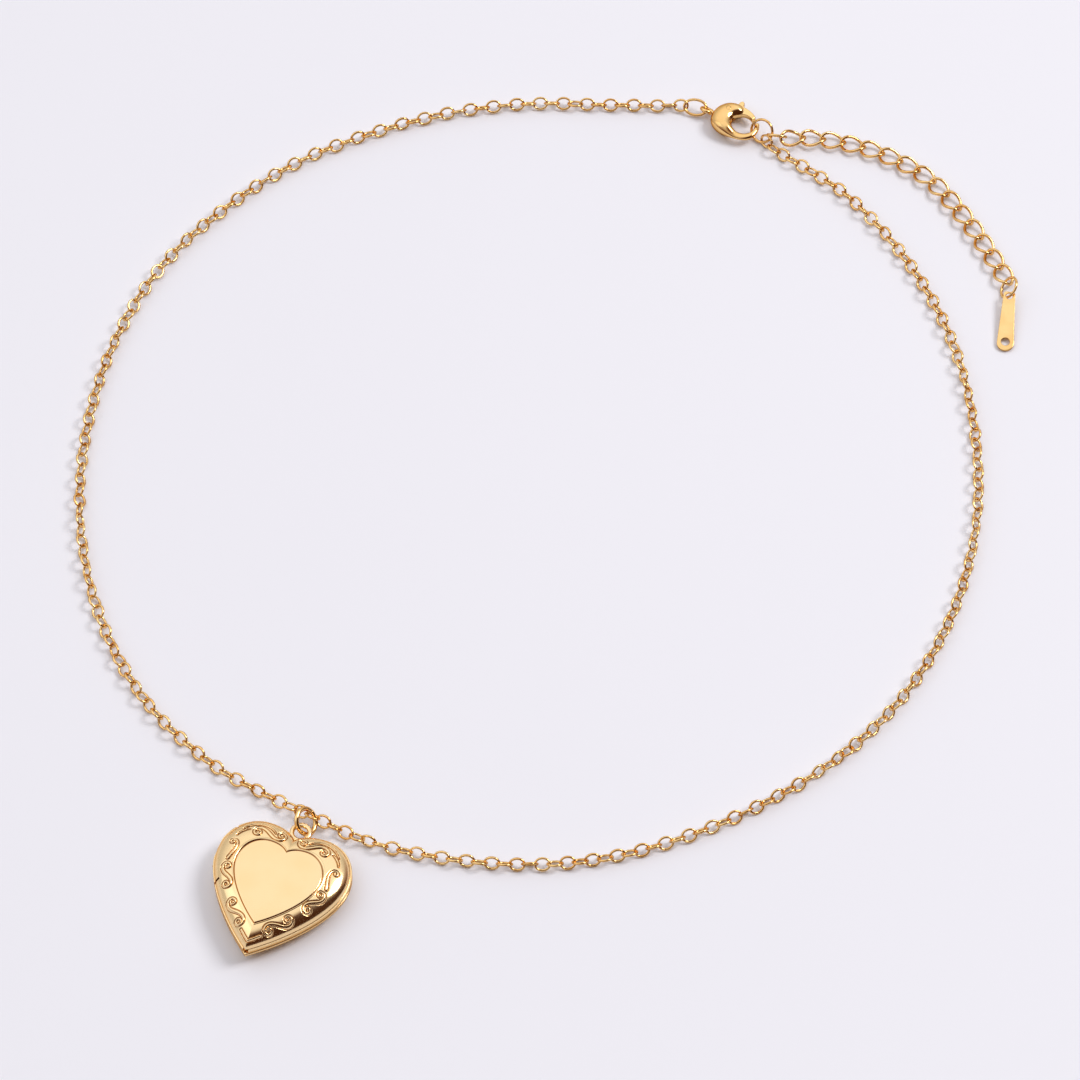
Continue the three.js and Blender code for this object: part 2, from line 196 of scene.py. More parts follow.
def rounded_bar(radius: float, length: float, edge: float, sides: int = 40) -> Surface:
    """A round bar along Z, centred, whose rims are quarter circles of radius edge.

    Args:
        radius: Of the bar.
        length: From face to face.
        edge: Radius of the rounded rims.
        sides: Points round the bar.

    Returns:
        A closed surface.
    """
    bend = np.linspace(0.0, TURN / 4, 6)
    rim = np.stack(
        [radius - edge + edge * np.sin(bend), edge - length / 2 - edge * np.cos(bend)], axis=1
    )
    return lathe(np.concatenate([rim, rim[::-1] * (1, -1)]), sides)


def rounded_plate(outline: Array, half: float, edge: float) -> Surface:
    """A flat plate with rounded rims, lying in the XY plane.

    The outline is drawn in along its own normals by edge * (1 - sin b) at height
    half - edge * (1 - cos b), with b from a quarter turn to nothing, and mirrored below.

    Args:
        outline: Anticlockwise loop of x, y.
        half: Half the thickness.
        edge: Radius of the rounded rims.

    Returns:
        A closed surface, with one lid on each face.
    """
    along = unit(np.roll(outline, -1, axis=0) - np.roll(outline, 1, axis=0))
    inward = np.stack([-along[:, 1], along[:, 0]], axis=1)
    bend = np.linspace(TURN / 4, 0.0, 5)
    draw_in = edge * (1 - np.sin(np.concatenate([bend[::-1], bend])))
    lift = half - edge * (1 - np.cos(bend))
    height = np.concatenate([-lift[::-1], lift])
    rings = np.empty((len(height), len(outline), 3))
    rings[..., :2] = outline[None] + draw_in[:, None, None] * inward[None]
    rings[..., 2] = height[:, None]
    skin = loft(rings)
    around = len(outline)
    top = tuple(range((len(height) - 1) * around, len(height) * around))
    bottom = tuple(range(around - 1, -1, -1))
    return Surface(rings.reshape(-1, 3), skin.quads, lids=(top, bottom))


def soft_square(angle: Array, power: float) -> tuple[Array, Array]:
    """Works out a superellipse: the signed powers of the cosine and the sine.

    Args:
        angle: Radians round it.
        power: 1 gives a circle, less a squarer section.

    Returns:
        Its two coordinates, each from -1 to 1.
    """
    cos, sin = np.cos(angle), np.sin(angle)
    return np.sign(cos) * np.abs(cos) ** power, np.sign(sin) * np.abs(sin) ** power


def unit(vectors: Array) -> Array:
    """Scales each row to length one."""
    return vectors / np.linalg.norm(vectors, axis=-1, keepdims=True)


def cubic(corners: Array, count: int = 40) -> Array:
    """Samples a cubic curve: its four corners weighted by (1-t)^3, 3t(1-t)^2, 3t^2(1-t) and t^3.

    Args:
        corners: Start, two handles and end.
        count: How many points.

    Returns:
        The points, both ends among them.
    """
    t = np.linspace(0.0, 1.0, count)[:, None]
    weights = np.concatenate(
        [(1 - t) ** 3, 3 * t * (1 - t) ** 2, 3 * t**2 * (1 - t), t**3], axis=1
    )
    return weights @ np.asarray(corners, float)


def cubics(
    start: Spot, *curves: tuple[Spot, Spot, Spot], count: int | tuple[int, ...] = 40,
) -> Array:
    """Chains cubic curves, as a pen would draw them.

    Args:
        start: Where the pen is set down.
        curves: Two handles and an end for each curve.
        count: Points on each curve: one number for all, or one each.

    Returns:
        One polyline, with no point twice in a row.
    """
    starts = [start, *(curve[-1] for curve in curves)]
    counts = np.broadcast_to(count, len(curves))
    arcs = [cubic((begin, *curve), n)[:-1] for begin, curve, n in zip(starts, curves, counts)]
    return np.concatenate([*arcs, [curves[-1][-1]]])


def running_length(points: Array) -> Array:
    """Length along a polyline at each of its points."""
    return np.concatenate([[0.0], np.cumsum(np.linalg.norm(np.diff(points, axis=0), axis=1))])


def along(points: Array, at: Array) -> Array:
    """Points on a polyline at the given lengths from its start.

    Args:
        points: The polyline.
        at: Lengths along it.

    Returns:
        One row for each length.
    """
    run = running_length(points)
    return np.stack([np.interp(at, run, column) for column in points.T], axis=1)


def evenly(points: Array, count: int) -> Array:
    """Spreads count points evenly along a polyline."""
    return along(points, np.linspace(0.0, running_length(points)[-1], count))


def centripetal(points: Array, steps: int = 24) -> Array:
    """Runs a smooth curve through points, as a centripetal Catmull-Rom spline.

    Knots are spaced by the square root of each chord. Between two points the curve is the
    cubic Hermite whose end slopes come from the chords on both sides, weighted by knot spacing;
    past each end the first and last chords are carried straight on.

    Args:
        points: What the curve goes through.
        steps: Pieces between two points.

    Returns:
        The curve as a polyline.
    """
    held = np.concatenate([[2 * points[0] - points[1]], points, [2 * points[-1] - points[-2]]])
    chord = np.diff(held, axis=0)
    knot = np.sqrt(np.linalg.norm(chord, axis=1, keepdims=True))
    rate = chord / knot
    before, here, after = knot[:-2], knot[1:-1], knot[2:]
    leave = (rate[:-2] - (chord[:-2] + chord[1:-1]) / (before + here) + rate[1:-1]) * here
    reach = (rate[1:-1] - (chord[1:-1] + chord[2:]) / (here + after) + rate[2:]) * here
    t = np.linspace(0.0, 1.0, steps, endpoint=False)[None, :, None]
    start, end = points[:-1, None], points[1:, None]
    curve = (
        (2 * t**3 - 3 * t**2 + 1) * start
        + (t**3 - 2 * t**2 + t) * leave[:, None]
        + (3 * t**2 - 2 * t**3) * end
        + (t**3 - t**2) * reach[:, None]
    )
    return np.concatenate([curve.reshape(-1, points.shape[1]), points[-1:]])


# ---- meshes --------------------------------------------------------------------------------
def build(name: str, surface: Surface, crease: float = CREASE) -> Piece:
    """Writes a surface into a new mesh object at the origin.

    Faces that enclose a negative volume are turned over, so that all point outwards.

    Args:
        name: The piece's name.
        surface: Its shape, in millimetres.
        crease: Edges sharper than this many degrees stay sharp.

    Returns:
        The new object.
    """
    points = surface.points * MM
    corners = np.concatenate([
        surface.quads[:, [0, 1, 2]], surface.quads[:, [0, 2, 3]], surface.triangles,
    ])
    a, b, c = (points[corners[:, k]] for k in range(3))
    step = -1 if (a * np.cross(b, c)).sum() < 0 else 1
    faces = [
        *surface.quads[:, ::step].tolist(),
        *surface.triangles[:, ::step].tolist(),
        *(list(lid[::step]) for lid in surface.lids),
    ]
    mesh = bpy.data.meshes.new(name)
    mesh.from_pydata(points.tolist(), [], faces)
    mesh.validate()
    smooth(mesh, crease)
    piece = bpy.data.objects.new(name, mesh)
    bpy.context.scene.collection.objects.link(piece)
    return piece


def smooth(mesh: bpy.types.Mesh, crease: float) -> None:
    """Shades a mesh smooth but for edges sharper than crease degrees."""
    mesh.polygons.foreach_set("use_smooth", np.ones(len(mesh.polygons), bool))
    mesh.set_sharp_from_angle(angle=float(np.radians(crease)))
    mesh.update()


class Cut(Enum):
    """What a tool solid does to a blank."""

    TAKE_AWAY = "DIFFERENCE"
    ADD = "UNION"


def worked(blank: Piece, cuts: list[tuple[Cut, Surface]]) -> Piece:
    """Cuts and joins solids on a blank, one after another, then clears the tools away.

    Args:
        blank: The piece to work.
        cuts: What to do and with which solid.

    Returns:
        The same piece, with a plain mesh.
    """
    tools = []
    for number, (cut, solid) in enumerate(cuts):
        tool = build(f"{blank.name}_tool_{number}", solid)
        modifier = blank.modifiers.new(tool.name, "BOOLEAN")
        modifier.operation, modifier.solver, modifier.object = cut.value, "MANIFOLD", tool
        tools.append(tool)
    shaped = blank.evaluated_get(bpy.context.evaluated_depsgraph_get())
    mesh = bpy.data.meshes.new_from_object(shaped)
    blank.modifiers.clear()
    blank.data = mesh
    mesh.name = blank.name
    for tool in tools:
        bpy.data.objects.remove(tool)
    smooth(mesh, CUT_CREASE)
    return blank


def vertices(piece: Piece) -> Array:
    """Reads a piece's points, in millimetres."""
    flat = np.empty(3 * len(piece.data.vertices), np.float32)
    piece.data.vertices.foreach_get("co", flat)
    return flat.reshape(-1, 3) / MM


def mark(piece: Piece, name: str, values: Array) -> None:
    """Stores one number at each point of a piece, for its finish to read.

    Args:
        piece: The piece.
        name: The attribute's name.
        values: One number for each point.
    """
    layer = piece.data.attributes.new(name, "FLOAT", "POINT")
    layer.data.foreach_set("value", np.asarray(values, np.float32))


def box_solid(lowest: Place, highest: Place) -> Surface:
    """A plain block between two corners, for cutting with."""
    (x0, y0, z0), (x1, y1, z1) = lowest, highest
    loop = np.array([[x0, y0], [x1, y0], [x1, y1], [x0, y1]])
    rings = np.empty((2, 4, 3))
    rings[..., :2] = loop
    rings[0, :, 2], rings[1, :, 2] = z0, z1
    return loft(rings)


# ---- finishes ------------------------------------------------------------------------------
class Bench:
    """Adds nodes to one node tree."""

    def __init__(self, tree: Tree) -> None:
        """Takes the tree to work on."""
        self.tree = tree

    def add(
        self, kind: str, inputs: dict[str | int, object] | None = None, **settings: object,
    ) -> Node:
        """Adds a node, with values or links on its inputs.

        Args:
            kind: The node's type.
            inputs: Input name or number, with a value or another node's output socket.
            settings: Properties of the node itself.

        Returns:
            The new node.
        """
        node = self.tree.nodes.new(kind)
        for name, value in settings.items():
            setattr(node, name, value)
        for name, value in (inputs or {}).items():
            if isinstance(value, Socket):
                self.tree.links.new(value, node.inputs[name])
            else:
                node.inputs[name].default_value = value
        return node

    def join(self, value: Socket, node: Node, name: str) -> None:
        """Links a value to one input of a node."""
        self.tree.links.new(value, node.inputs[name])

    def math(self, operation: str, *values: object) -> Socket:
        """Works out a sum on numbers or number sockets, in the order that the node takes them."""
        return self.add("ShaderNodeMath", dict(enumerate(values)), operation=operation).outputs[0]

    def toward(self, way: Socket, direction: Place) -> Socket:
        """How far a way points along a direction: their dot product."""
        inputs = {0: way, 1: direction}
        return self.add("ShaderNodeVectorMath", inputs, operation="DOT_PRODUCT").outputs["Value"]

    def shared(self, tree: Tree, **inputs: object) -> Node:
        """Adds a shared effect, with values or links on its inputs."""
        return self.add("ShaderNodeGroup", inputs, node_tree=tree)

    def raised(self, height: Socket, distance: float, shader: Node, strength: float = 1.0) -> None:
        """Lets a height mask, distance metres deep, tilt the shader's normal."""
        bump = self.add(
            "ShaderNodeBump", {"Strength": strength, "Distance": distance, "Height": height},
        )
        self.join(bump.outputs[0], shader, "Normal")

    def span(
        self, value: Socket, low: float, high: float, to_low: float = 0.0, to_high: float = 1.0,
    ) -> Socket:
        """Maps a value from one range to another, held at both ends.

        Args:
            value: What to map.
            low: Start of its range.
            high: End of its range.
            to_low: What the start becomes.
            to_high: What the end becomes.

        Returns:
            The mapped value's socket.
        """
        ends = {"From Min": low, "From Max": high, "To Min": to_low, "To Max": to_high}
        return self.add("ShaderNodeMapRange", {0: value, **ends}).outputs[0]

    def blend(self, amount: Socket, first: object, second: object) -> Socket:
        """Mixes two colours by an amount.

        Args:
            amount: From 0, all first, to 1, all second.
            first: A colour or a colour socket.
            second: A colour or a colour socket.

        Returns:
            The mixed colour's socket.
        """
        node = self.add("ShaderNodeMix", {0: amount, 6: first, 7: second}, data_type="RGBA")
        return node.outputs[2]


def effect(
    name: str, takes: dict[str, tuple[str, object]], gives: dict[str, str],
) -> tuple[Bench, Node, Node]:
    """Starts a shader node group with named inputs and outputs.

    Args:
        name: The group's name.
        takes: Input name, with its socket type and default.
        gives: Output name, with its socket type.

    Returns:
        A bench on the group, and the group's input and output nodes.
    """
    tree = bpy.data.node_groups.new(name, "ShaderNodeTree")
    for label, (kind, default) in takes.items():
        tree.interface.new_socket(label, in_out="INPUT", socket_type=kind).default_value = default
    for label, kind in gives.items():
        tree.interface.new_socket(label, in_out="OUTPUT", socket_type=kind)
    bench = Bench(tree)
    return bench, bench.add("NodeGroupInput"), bench.add("NodeGroupOutput")


NUMBER, COLOUR = "NodeSocketFloat", "NodeSocketColor"


def satin_grain() -> Tree:
    """Fine brushed grain: noise stretched along one axis over a softer, rounder cloud.

    Returns:
        A group with inputs Fineness and Stretch and outputs Grain and Cloud, both from 0 to 1.
    """
    bench, takes, gives = effect(
        "satin_grain",
        {"Fineness": (NUMBER, 6000.0), "Stretch": (NUMBER, 0.08)},
        {"Grain": NUMBER, "Cloud": NUMBER},
    )
    place = bench.add("ShaderNodeTexCoord").outputs["Object"]
    squeeze = bench.add("ShaderNodeCombineXYZ", {0: 1.0, 1: takes.outputs["Stretch"], 2: 1.0})
    drawn = bench.add(
        "ShaderNodeVectorMath", {0: place, 1: squeeze.outputs[0]}, operation="MULTIPLY",
    )
    grain = bench.add("ShaderNodeTexNoise", {
        "Vector": drawn.outputs[0], "Scale": takes.outputs["Fineness"], "Detail": 3.0,
    })
    cloud = bench.add("ShaderNodeTexNoise", {"Vector": place, "Scale": 260.0, "Detail": 2.0})
    bench.join(grain.outputs[0], gives, "Grain")
    bench.join(cloud.outputs[0], gives, "Cloud")
    return bench.tree


def handling_marks() -> Tree:
    """Hairline scratches: the thin zero lines of a long, narrow noise, broken up by a patchy one.

    Returns:
        A group with inputs Spacing and Amount and the output Marks, 1 on a scratch and 0 off it.
    """
    bench, takes, gives = effect(
        "handling_marks",
        {"Spacing": (NUMBER, 1500.0), "Amount": (NUMBER, 0.5)},
        {"Marks": NUMBER},
    )
    place = bench.add("ShaderNodeTexCoord").outputs["Object"]
    turned = bench.add("ShaderNodeMapping", {
        "Vector": place, "Rotation": (0.3, 0.2, 0.7), "Scale": (1.0, 0.12, 1.0),
    })
    lines = bench.add("ShaderNodeTexNoise", {
        "Vector": turned.outputs[0], "Scale": takes.outputs["Spacing"], "Detail": 1.0,
    })
    from_zero = bench.math("ABSOLUTE", bench.math("SUBTRACT", lines.outputs[0], 0.5))
    thin = bench.span(from_zero, 0.0, 0.012, 1.0, 0.0)
    patch = bench.add("ShaderNodeTexNoise", {"Vector": place, "Scale": 600.0, "Detail": 1.0})
    broken = bench.math("MULTIPLY", thin, bench.span(patch.outputs[0], 0.48, 0.62))
    bench.join(bench.math("MULTIPLY", broken, takes.outputs["Amount"]), gives, "Marks")
    return bench.tree


def warm_tone() -> Tree:
    """Plating colour: drifts between two golds, and deepens where a mask says the surface dips;
    the same mask carries painted shade and dirt where the locket's leaves meet.

    Returns:
        A group with inputs Pale, Deep, Recess, Cloud and Dip and the output Tone.
    """
    bench, takes, gives = effect(
        "warm_tone",
        {
            "Pale": (COLOUR, (1, 1, 1, 1)),
            "Deep": (COLOUR, (1, 1, 1, 1)),
            "Recess": (COLOUR, (0, 0, 0, 1)),
            "Cloud": (NUMBER, 0.5),
            "Dip": (NUMBER, 0.0),
        },
        {"Tone": COLOUR},
    )
    drift = bench.span(takes.outputs["Cloud"], 0.35, 0.65)
    gold = bench.blend(drift, takes.outputs["Pale"], takes.outputs["Deep"])
    tone = bench.blend(takes.outputs["Dip"], gold, takes.outputs["Recess"])
    bench.join(tone, gives, "Tone")
    return bench.tree


@dataclass
class Effects:
    """The node groups that the finishes share, each built once."""

    grain: Tree = field(default_factory=satin_grain)
    marks: Tree = field(default_factory=handling_marks)
    tone: Tree = field(default_factory=warm_tone)


def start_material(name: str) -> tuple[Material, Bench, Node]:
    """Makes a material that holds only its shader and its output.

    Args:
        name: The material's name.

    Returns:
        The material, a bench on its nodes, and its Principled shader.
    """
    material = bpy.data.materials.new(name)
    material.use_nodes = True
    bench = Bench(material.node_tree)
    shader = material.node_tree.nodes["Principled BSDF"]
    return material, bench, shader


@dataclass(frozen=True)
class GoldPlate:
    """Gold plating over steel, from satin to polished.

    Attributes:
        name: The material's name.
        pale: Lighter of the two golds that the plating drifts between.
        deep: Deeper of the two.
        recess: Colour down in the stamped lines.
        smoothest: Roughness on raised, rubbed places.
        roughest: Roughness elsewhere.
        fineness: Grain lines to the metre.
        stretch: How far the grain is drawn out along Y; 1 is round.
        grain_height: Metres between the grain's hills and hollows.
        scratches: How clearly hairline scratches show.
        scoring: How much roughness a scratch adds.
        edge: Tint of reflections that graze the surface.
        dips: Relief marks, mm, where the recess colour starts and is full, and its two amounts.
        rubs: Relief marks, mm, where rubbing starts and is full, and what roughness it takes off.
    """

    name: str
    pale: Colour
    deep: Colour
    recess: Colour = (0.36, 0.13, 0.03, 1.0)
    smoothest: float = 0.15
    roughest: float = 0.2
    fineness: float = 9000.0
    stretch: float = 0.12
    grain_height: float = 6e-8
    scratches: float = 0.15
    scoring: float = 0.16
    edge: Colour = (0.85, 0.55, 0.28, 1.0)
    dips: tuple[float, ...] = (-0.01, -0.09, 0.0, 0.85)
    rubs: tuple[float, ...] = (0.02, 0.1, 0.0, 0.05)

    def material(self, effects: Effects) -> Material:
        """Builds the finish from the shared effects.

        Args:
            effects: The node groups.

        Returns:
            The material.
        """
        material, bench, shader = start_material(self.name)
        grain = bench.shared(effects.grain, Fineness=self.fineness, Stretch=self.stretch)
        marks = bench.shared(effects.marks, Amount=self.scratches)
        relief = bench.add("ShaderNodeAttribute", attribute_name="relief").outputs["Fac"]
        # The dip mask darkens the stamped lines, and paints shade and dirt where the locket's
        # leaves meet.
        dip = bench.span(relief, *self.dips)
        tone = bench.shared(
            effects.tone, Pale=self.pale, Deep=self.deep, Recess=self.recess,
            Cloud=grain.outputs["Cloud"], Dip=dip,
        )
        bench.join(tone.outputs["Tone"], shader, "Base Color")
        rubbed = bench.span(relief, *self.rubs)
        matt = bench.span(grain.outputs["Grain"], 0.3, 0.7, self.smoothest, self.roughest)
        worn = bench.math("SUBTRACT", matt, rubbed)
        scored = bench.math("MULTIPLY_ADD", marks.outputs["Marks"], self.scoring, worn)
        bench.join(scored, shader, "Roughness")
        height = bench.math("SUBTRACT", grain.outputs["Grain"], marks.outputs["Marks"])
        bench.raised(height, self.grain_height, shader)
        shader.inputs["Metallic"].default_value = 1.0
        shader.inputs["Specular Tint"].default_value = self.edge
        return material


@dataclass(frozen=True)
class SpringWire:
    """Drawn steel wire with faint lengthwise lines."""

    name: str = "spring_wire"
    tone: Colour = (0.52, 0.54, 0.57, 1.0)
    fineness: float = 14000.0

    def material(self, effects: Effects) -> Material:
        """Builds the finish from the shared effects."""
        material, bench, shader = start_material(self.name)
        grain = bench.shared(effects.grain, Fineness=self.fineness)
        bench.join(bench.span(grain.outputs["Grain"], 0.3, 0.7, 0.22, 0.42), shader, "Roughness")
        shader.inputs["Base Color"].default_value = self.tone
        shader.inputs["Metallic"].default_value = 1.0
        return material


@dataclass(frozen=True)
class PhotoCard:
    """Uncoated card: off-white with a fibre that shows in colour and height."""

    name: str = "photo_card_paper"
    light: Colour = (0.88, 0.85, 0.78, 1.0)
    dark: Colour = (0.76, 0.71, 0.62, 1.0)
    fineness: float = 5000.0
    fibre_height: float = 1.2e-5

    def material(self, effects: Effects) -> Material:
        """Builds the finish from the shared effects."""
        material, bench, shader = start_material(self.name)
        grain = bench.shared(effects.grain, Fineness=self.fineness, Stretch=0.5)
        fibre = bench.span(grain.outputs["Grain"], 0.35, 0.7)
        bench.join(bench.blend(fibre, self.light, self.dark), shader, "Base Color")
        bench.join(bench.span(grain.outputs["Cloud"], 0.3, 0.7, 0.72, 0.88), shader, "Roughness")
        bench.raised(grain.outputs["Grain"], self.fibre_height, shader, 0.6)
        return material


@dataclass(frozen=True)
class ClearFilm:
    """Thin clear acetate that keeps a photo in place."""

    name: str = "clear_acetate"
    tone: Colour = (0.96, 0.98, 1.0, 1.0)
    scratch_spacing: float = 900.0
    bending: float = 1.48

    def material(self, effects: Effects) -> Material:
        """Builds the finish from the shared effects."""
        material, bench, shader = start_material(self.name)
        marks = bench.shared(effects.marks, Spacing=self.scratch_spacing)
        bench.join(bench.span(marks.outputs["Marks"], 0.0, 1.0, 0.04, 0.3), shader, "Roughness")
        shader.inputs["Base Color"].default_value = self.tone
        shader.inputs["Transmission Weight"].default_value = 1.0
        shader.inputs["IOR"].default_value = self.bending
        return material


class Finish(Enum):
    """The necklace's finishes."""

    SATIN = GoldPlate(
        "satin_gold_plate", (0.93, 0.69, 0.38, 1.0), (0.92, 0.665, 0.35, 1.0),
    )
    POLISHED = GoldPlate(
        "polished_gold_plate", (0.93, 0.64, 0.28, 1.0), (0.84, 0.49, 0.17, 1.0),
        smoothest=0.08, roughest=0.15, fineness=12000.0, stretch=0.5, grain_height=1e-7,
        scratches=0.25, edge=(0.5, 0.2, 0.06, 1.0),
    )
    SPRING = SpringWire()
    CARD = PhotoCard()
    FILM = ClearFilm()


@dataclass
class Dresser:
    """Gives each finished piece its material, its body and the solids it stands for."""

    effects: Effects = field(default_factory=Effects)
    made: dict[Finish, Material] = field(default_factory=dict)

    def dress(self, piece: Piece, finish: Finish, body: str, *nodes: str) -> Piece:
        """Finishes one piece.

        Args:
            piece: The piece.
            finish: Which finish it has.
            body: The body it moves with.
            nodes: The plain solids it replaces.

        Returns:
            The same piece.
        """
        if finish not in self.made:
            self.made[finish] = finish.value.material(self.effects)
        piece.data.materials.clear()
        piece.data.materials.append(self.made[finish])
        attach(piece, body)
        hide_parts(*nodes)
        LOG.info("%s: %d faces, on %s", piece.name, len(piece.data.polygons), body)
        return piece


# ---- stamped scrolls -----------------------------------------------------------------------
class Hand(Enum):
    """Which way a coil turns as it is followed to its eye, seen from above."""

    CLOCKWISE = -1
    ANTICLOCKWISE = 1


@dataclass(frozen=True)
class Scroll:
    """A scroll whose curvature grows steadily to a coil.

    Attributes:
        start: Eye of the first coil, or foot of the stem.
        eye: Eye of the last coil.
        hand: Which way the last coil turns.
        stem: True where the start is a plain stem, False where it is a coil of the other hand.
        turns: Turns of each coil.
        quickening: How suddenly the curve tightens; 2 is the even spiral.
        broad: Half width of the raised band in mm at its middle, or at its foot.
        fine: Half width at an eye.
    """

    start: Spot
    eye: Spot
    hand: Hand
    stem: bool = False
    turns: float = 1.3
    quickening: float = 2.0
    broad: float = 0.24
    fine: float = 0.12

    def spine(self) -> tuple[Array, Array]:
        """Works out the middle line.

        With u from -1, or 0 on a stem, to 1, the heading is hand * turns * |u|^quickening
        turns. The unit steps of that heading are summed as complex numbers, then the whole
        line is turned and scaled so that its ends fall on start and eye.

        Returns:
            The points, and the half width at each.
        """
        u = np.linspace(0.0 if self.stem else -1.0, 1.0, 260)
        heading = TURN * self.hand.value * self.turns * np.abs(u) ** self.quickening
        line = np.cumsum(np.exp(1j * heading))
        first, last = complex(*self.start), complex(*self.eye)
        line = first + (line - line[0]) * (last - first) / (line[-1] - line[0])
        width = self.broad + (self.fine - self.broad) * np.abs(u)
        return np.stack([line.real, line.imag], axis=1), width


@dataclass(frozen=True)
class Stroke:
    """A plain curved line that swells in its middle.

    Attributes:
        corners: Start, two handles and end.
        broad: Half width in mm at the middle.
        fine: Half width at both ends.
    """

    corners: tuple[Spot, Spot, Spot, Spot]
    broad: float = 0.14
    fine: float = 0.08

    def spine(self) -> tuple[Array, Array]:
        """Works out the middle line: a cubic, its half width following half a sine wave."""
        line = cubic(np.array(self.corners), 120)
        return line, self.fine + (self.broad - self.fine) * np.sin(np.linspace(0.0, np.pi, 120))


@dataclass(frozen=True)
class Stamping:
    """The scrolls pressed into the front leaf's border, mirrored about the heart's axis.

    Attributes:
        lines: The right-hand half of the pattern.
        height: How far a band stands proud, mm.
        groove: How deep the crease beside a band is, mm.
        full: Half width of a band that stands at its full height, mm.
        beside: From a band's edge to the crease's deepest line, mm.
        spread: How far the crease reaches to either side of that line, mm.
        margin: How far round a line its height is worked out, mm.
    """

    lines: tuple[Scroll | Stroke, ...] = (
        Scroll((1.35, 7.5), (5.15, 7.35), Hand.CLOCKWISE, turns=1.25),
        Scroll((7.25, 1.9), (7.5, 4.75), Hand.CLOCKWISE, stem=True, turns=1.2, quickening=4.0),
        Scroll((7.05, 0.9), (5.8, -2.15), Hand.ANTICLOCKWISE),
        Scroll((4.35, -4.2), (1.95, -6.9), Hand.ANTICLOCKWISE),
        Stroke(((2.5, 7.75), (3.5, 8.85), (5.5, 9.15), (7.0, 7.2))),
        Stroke(((6.15, 7.3), (6.7, 7.1), (7.2, 6.6), (7.45, 5.9))),
        Stroke(((0.0, -9.05), (0.45, -8.7), (0.95, -8.25), (1.45, -7.75)), fine=0.13),
    )
    height: float = 0.12
    groove: float = 0.11
    full: float = 0.24
    beside: float = 0.04
    spread: float = 0.06
    margin: float = 0.7

    def relief(self, x: Array, y: Array) -> Array:
        """Height of the pattern over the plain dome.

        For each line, d is the distance to its nearest point and w the half width there. The
        band is height * (0.6 + 0.4 w / full) * cos of a quarter turn * d / w within w, the crease
        is groove * exp(-((d - w - beside) / spread)^2), and bands win over the creases of
        their neighbours.

        Args:
            x: Across the heart, mm.
            y: Along the heart, mm.

        Returns:
            The height at each point, mm.
        """
        band, crease = np.zeros(x.size), np.zeros(x.size)
        spots = np.stack([np.abs(x).ravel(), y.ravel()], axis=1)
        for line in self.lines:
            spine, width = line.spine()
            lowest, highest = spine.min(0) - self.margin, spine.max(0) + self.margin
            reach = ((spots > lowest) & (spots < highest)).all(axis=1)
            apart = np.linalg.norm(spots[reach, None] - spine[None], axis=2)
            nearest = apart.argmin(axis=1)
            d, w = apart[np.arange(len(nearest)), nearest], width[nearest]
            swell = np.where(d < w, np.cos(TURN / 4 * np.minimum(d / w, 1.0)), 0.0)
            raised = self.height * swell * (0.6 + 0.4 * w / self.full)
            band[reach] = np.maximum(band[reach], raised)
            dip = self.groove * np.exp(-(((d - w - self.beside) / self.spread) ** 2))
            crease[reach] = np.maximum(crease[reach], dip)
        return (band - crease * (1.0 - np.minimum(band / 0.03, 1.0))).reshape(x.shape)


# ---- the locket ----------------------------------------------------------------------------
@dataclass(frozen=True)
class HeartShape:
    """The heart that both leaves and all that lies in them follow."""

    half_width: float = 9.7
    top: float = 10.0
    notch: float = 8.5
    tip: float = -10.2
    lobe_x: float = 4.1
    shoulder_y: float = 3.8

    def outline(self, count: int) -> Array:
        """Runs once round the heart, anticlockwise from the notch.

        The right half is three cubics, from the notch over the lobe and the shoulder to the
        tip, spread evenly by length; the left half is its mirror image.

        Args:
            count: Points in all, an even number.

        Returns:
            The loop, without its start twice.
        """
        half = cubics(
            (0.0, self.notch),
            ((0.9, self.notch + 1.0), (self.lobe_x - 1.8, self.top), (self.lobe_x, self.top)),
            (
                (self.lobe_x + 3.3, self.top),
                (self.half_width, self.shoulder_y + 3.4),
                (self.half_width, self.shoulder_y),
            ),
            ((self.half_width, self.shoulder_y - 4.8), (4.35, self.tip + 3.35), (0.0, self.tip)),
            count=200,
        )
        right = evenly(half, count // 2 + 1)
        return np.concatenate([right[:-1] * (-1, 1), right[:0:-1]])

    def loft(self, profile: Array, count: int) -> Surface:
        """Carries a profile round the heart: row (s, z) is the outline times s, at height z.

        Args:
            profile: Rows of scale and height, from one middle of the solid to the other.
            count: Points round the heart.

        Returns:
            A closed surface.
        """
        loop = self.outline(count)
        rings = np.empty((len(profile), count, 3))
        rings[..., :2] = loop[None] * profile[:, None, :1]
        rings[..., 2] = profile[:, 1:]
        return loft(rings)


def profile_rows(*runs: tuple[Spot, Spot, int]) -> Array:
    """Chains straight runs of a profile.

    Args:
        runs: Start, end and number of rows of each run, its end left to the next run.

    Returns:
        Rows of scale and height.
    """
    parts = [np.linspace(start, end, rows, endpoint=False) for start, end, rows in runs]
    return np.concatenate([*parts, [runs[-1][1]]])


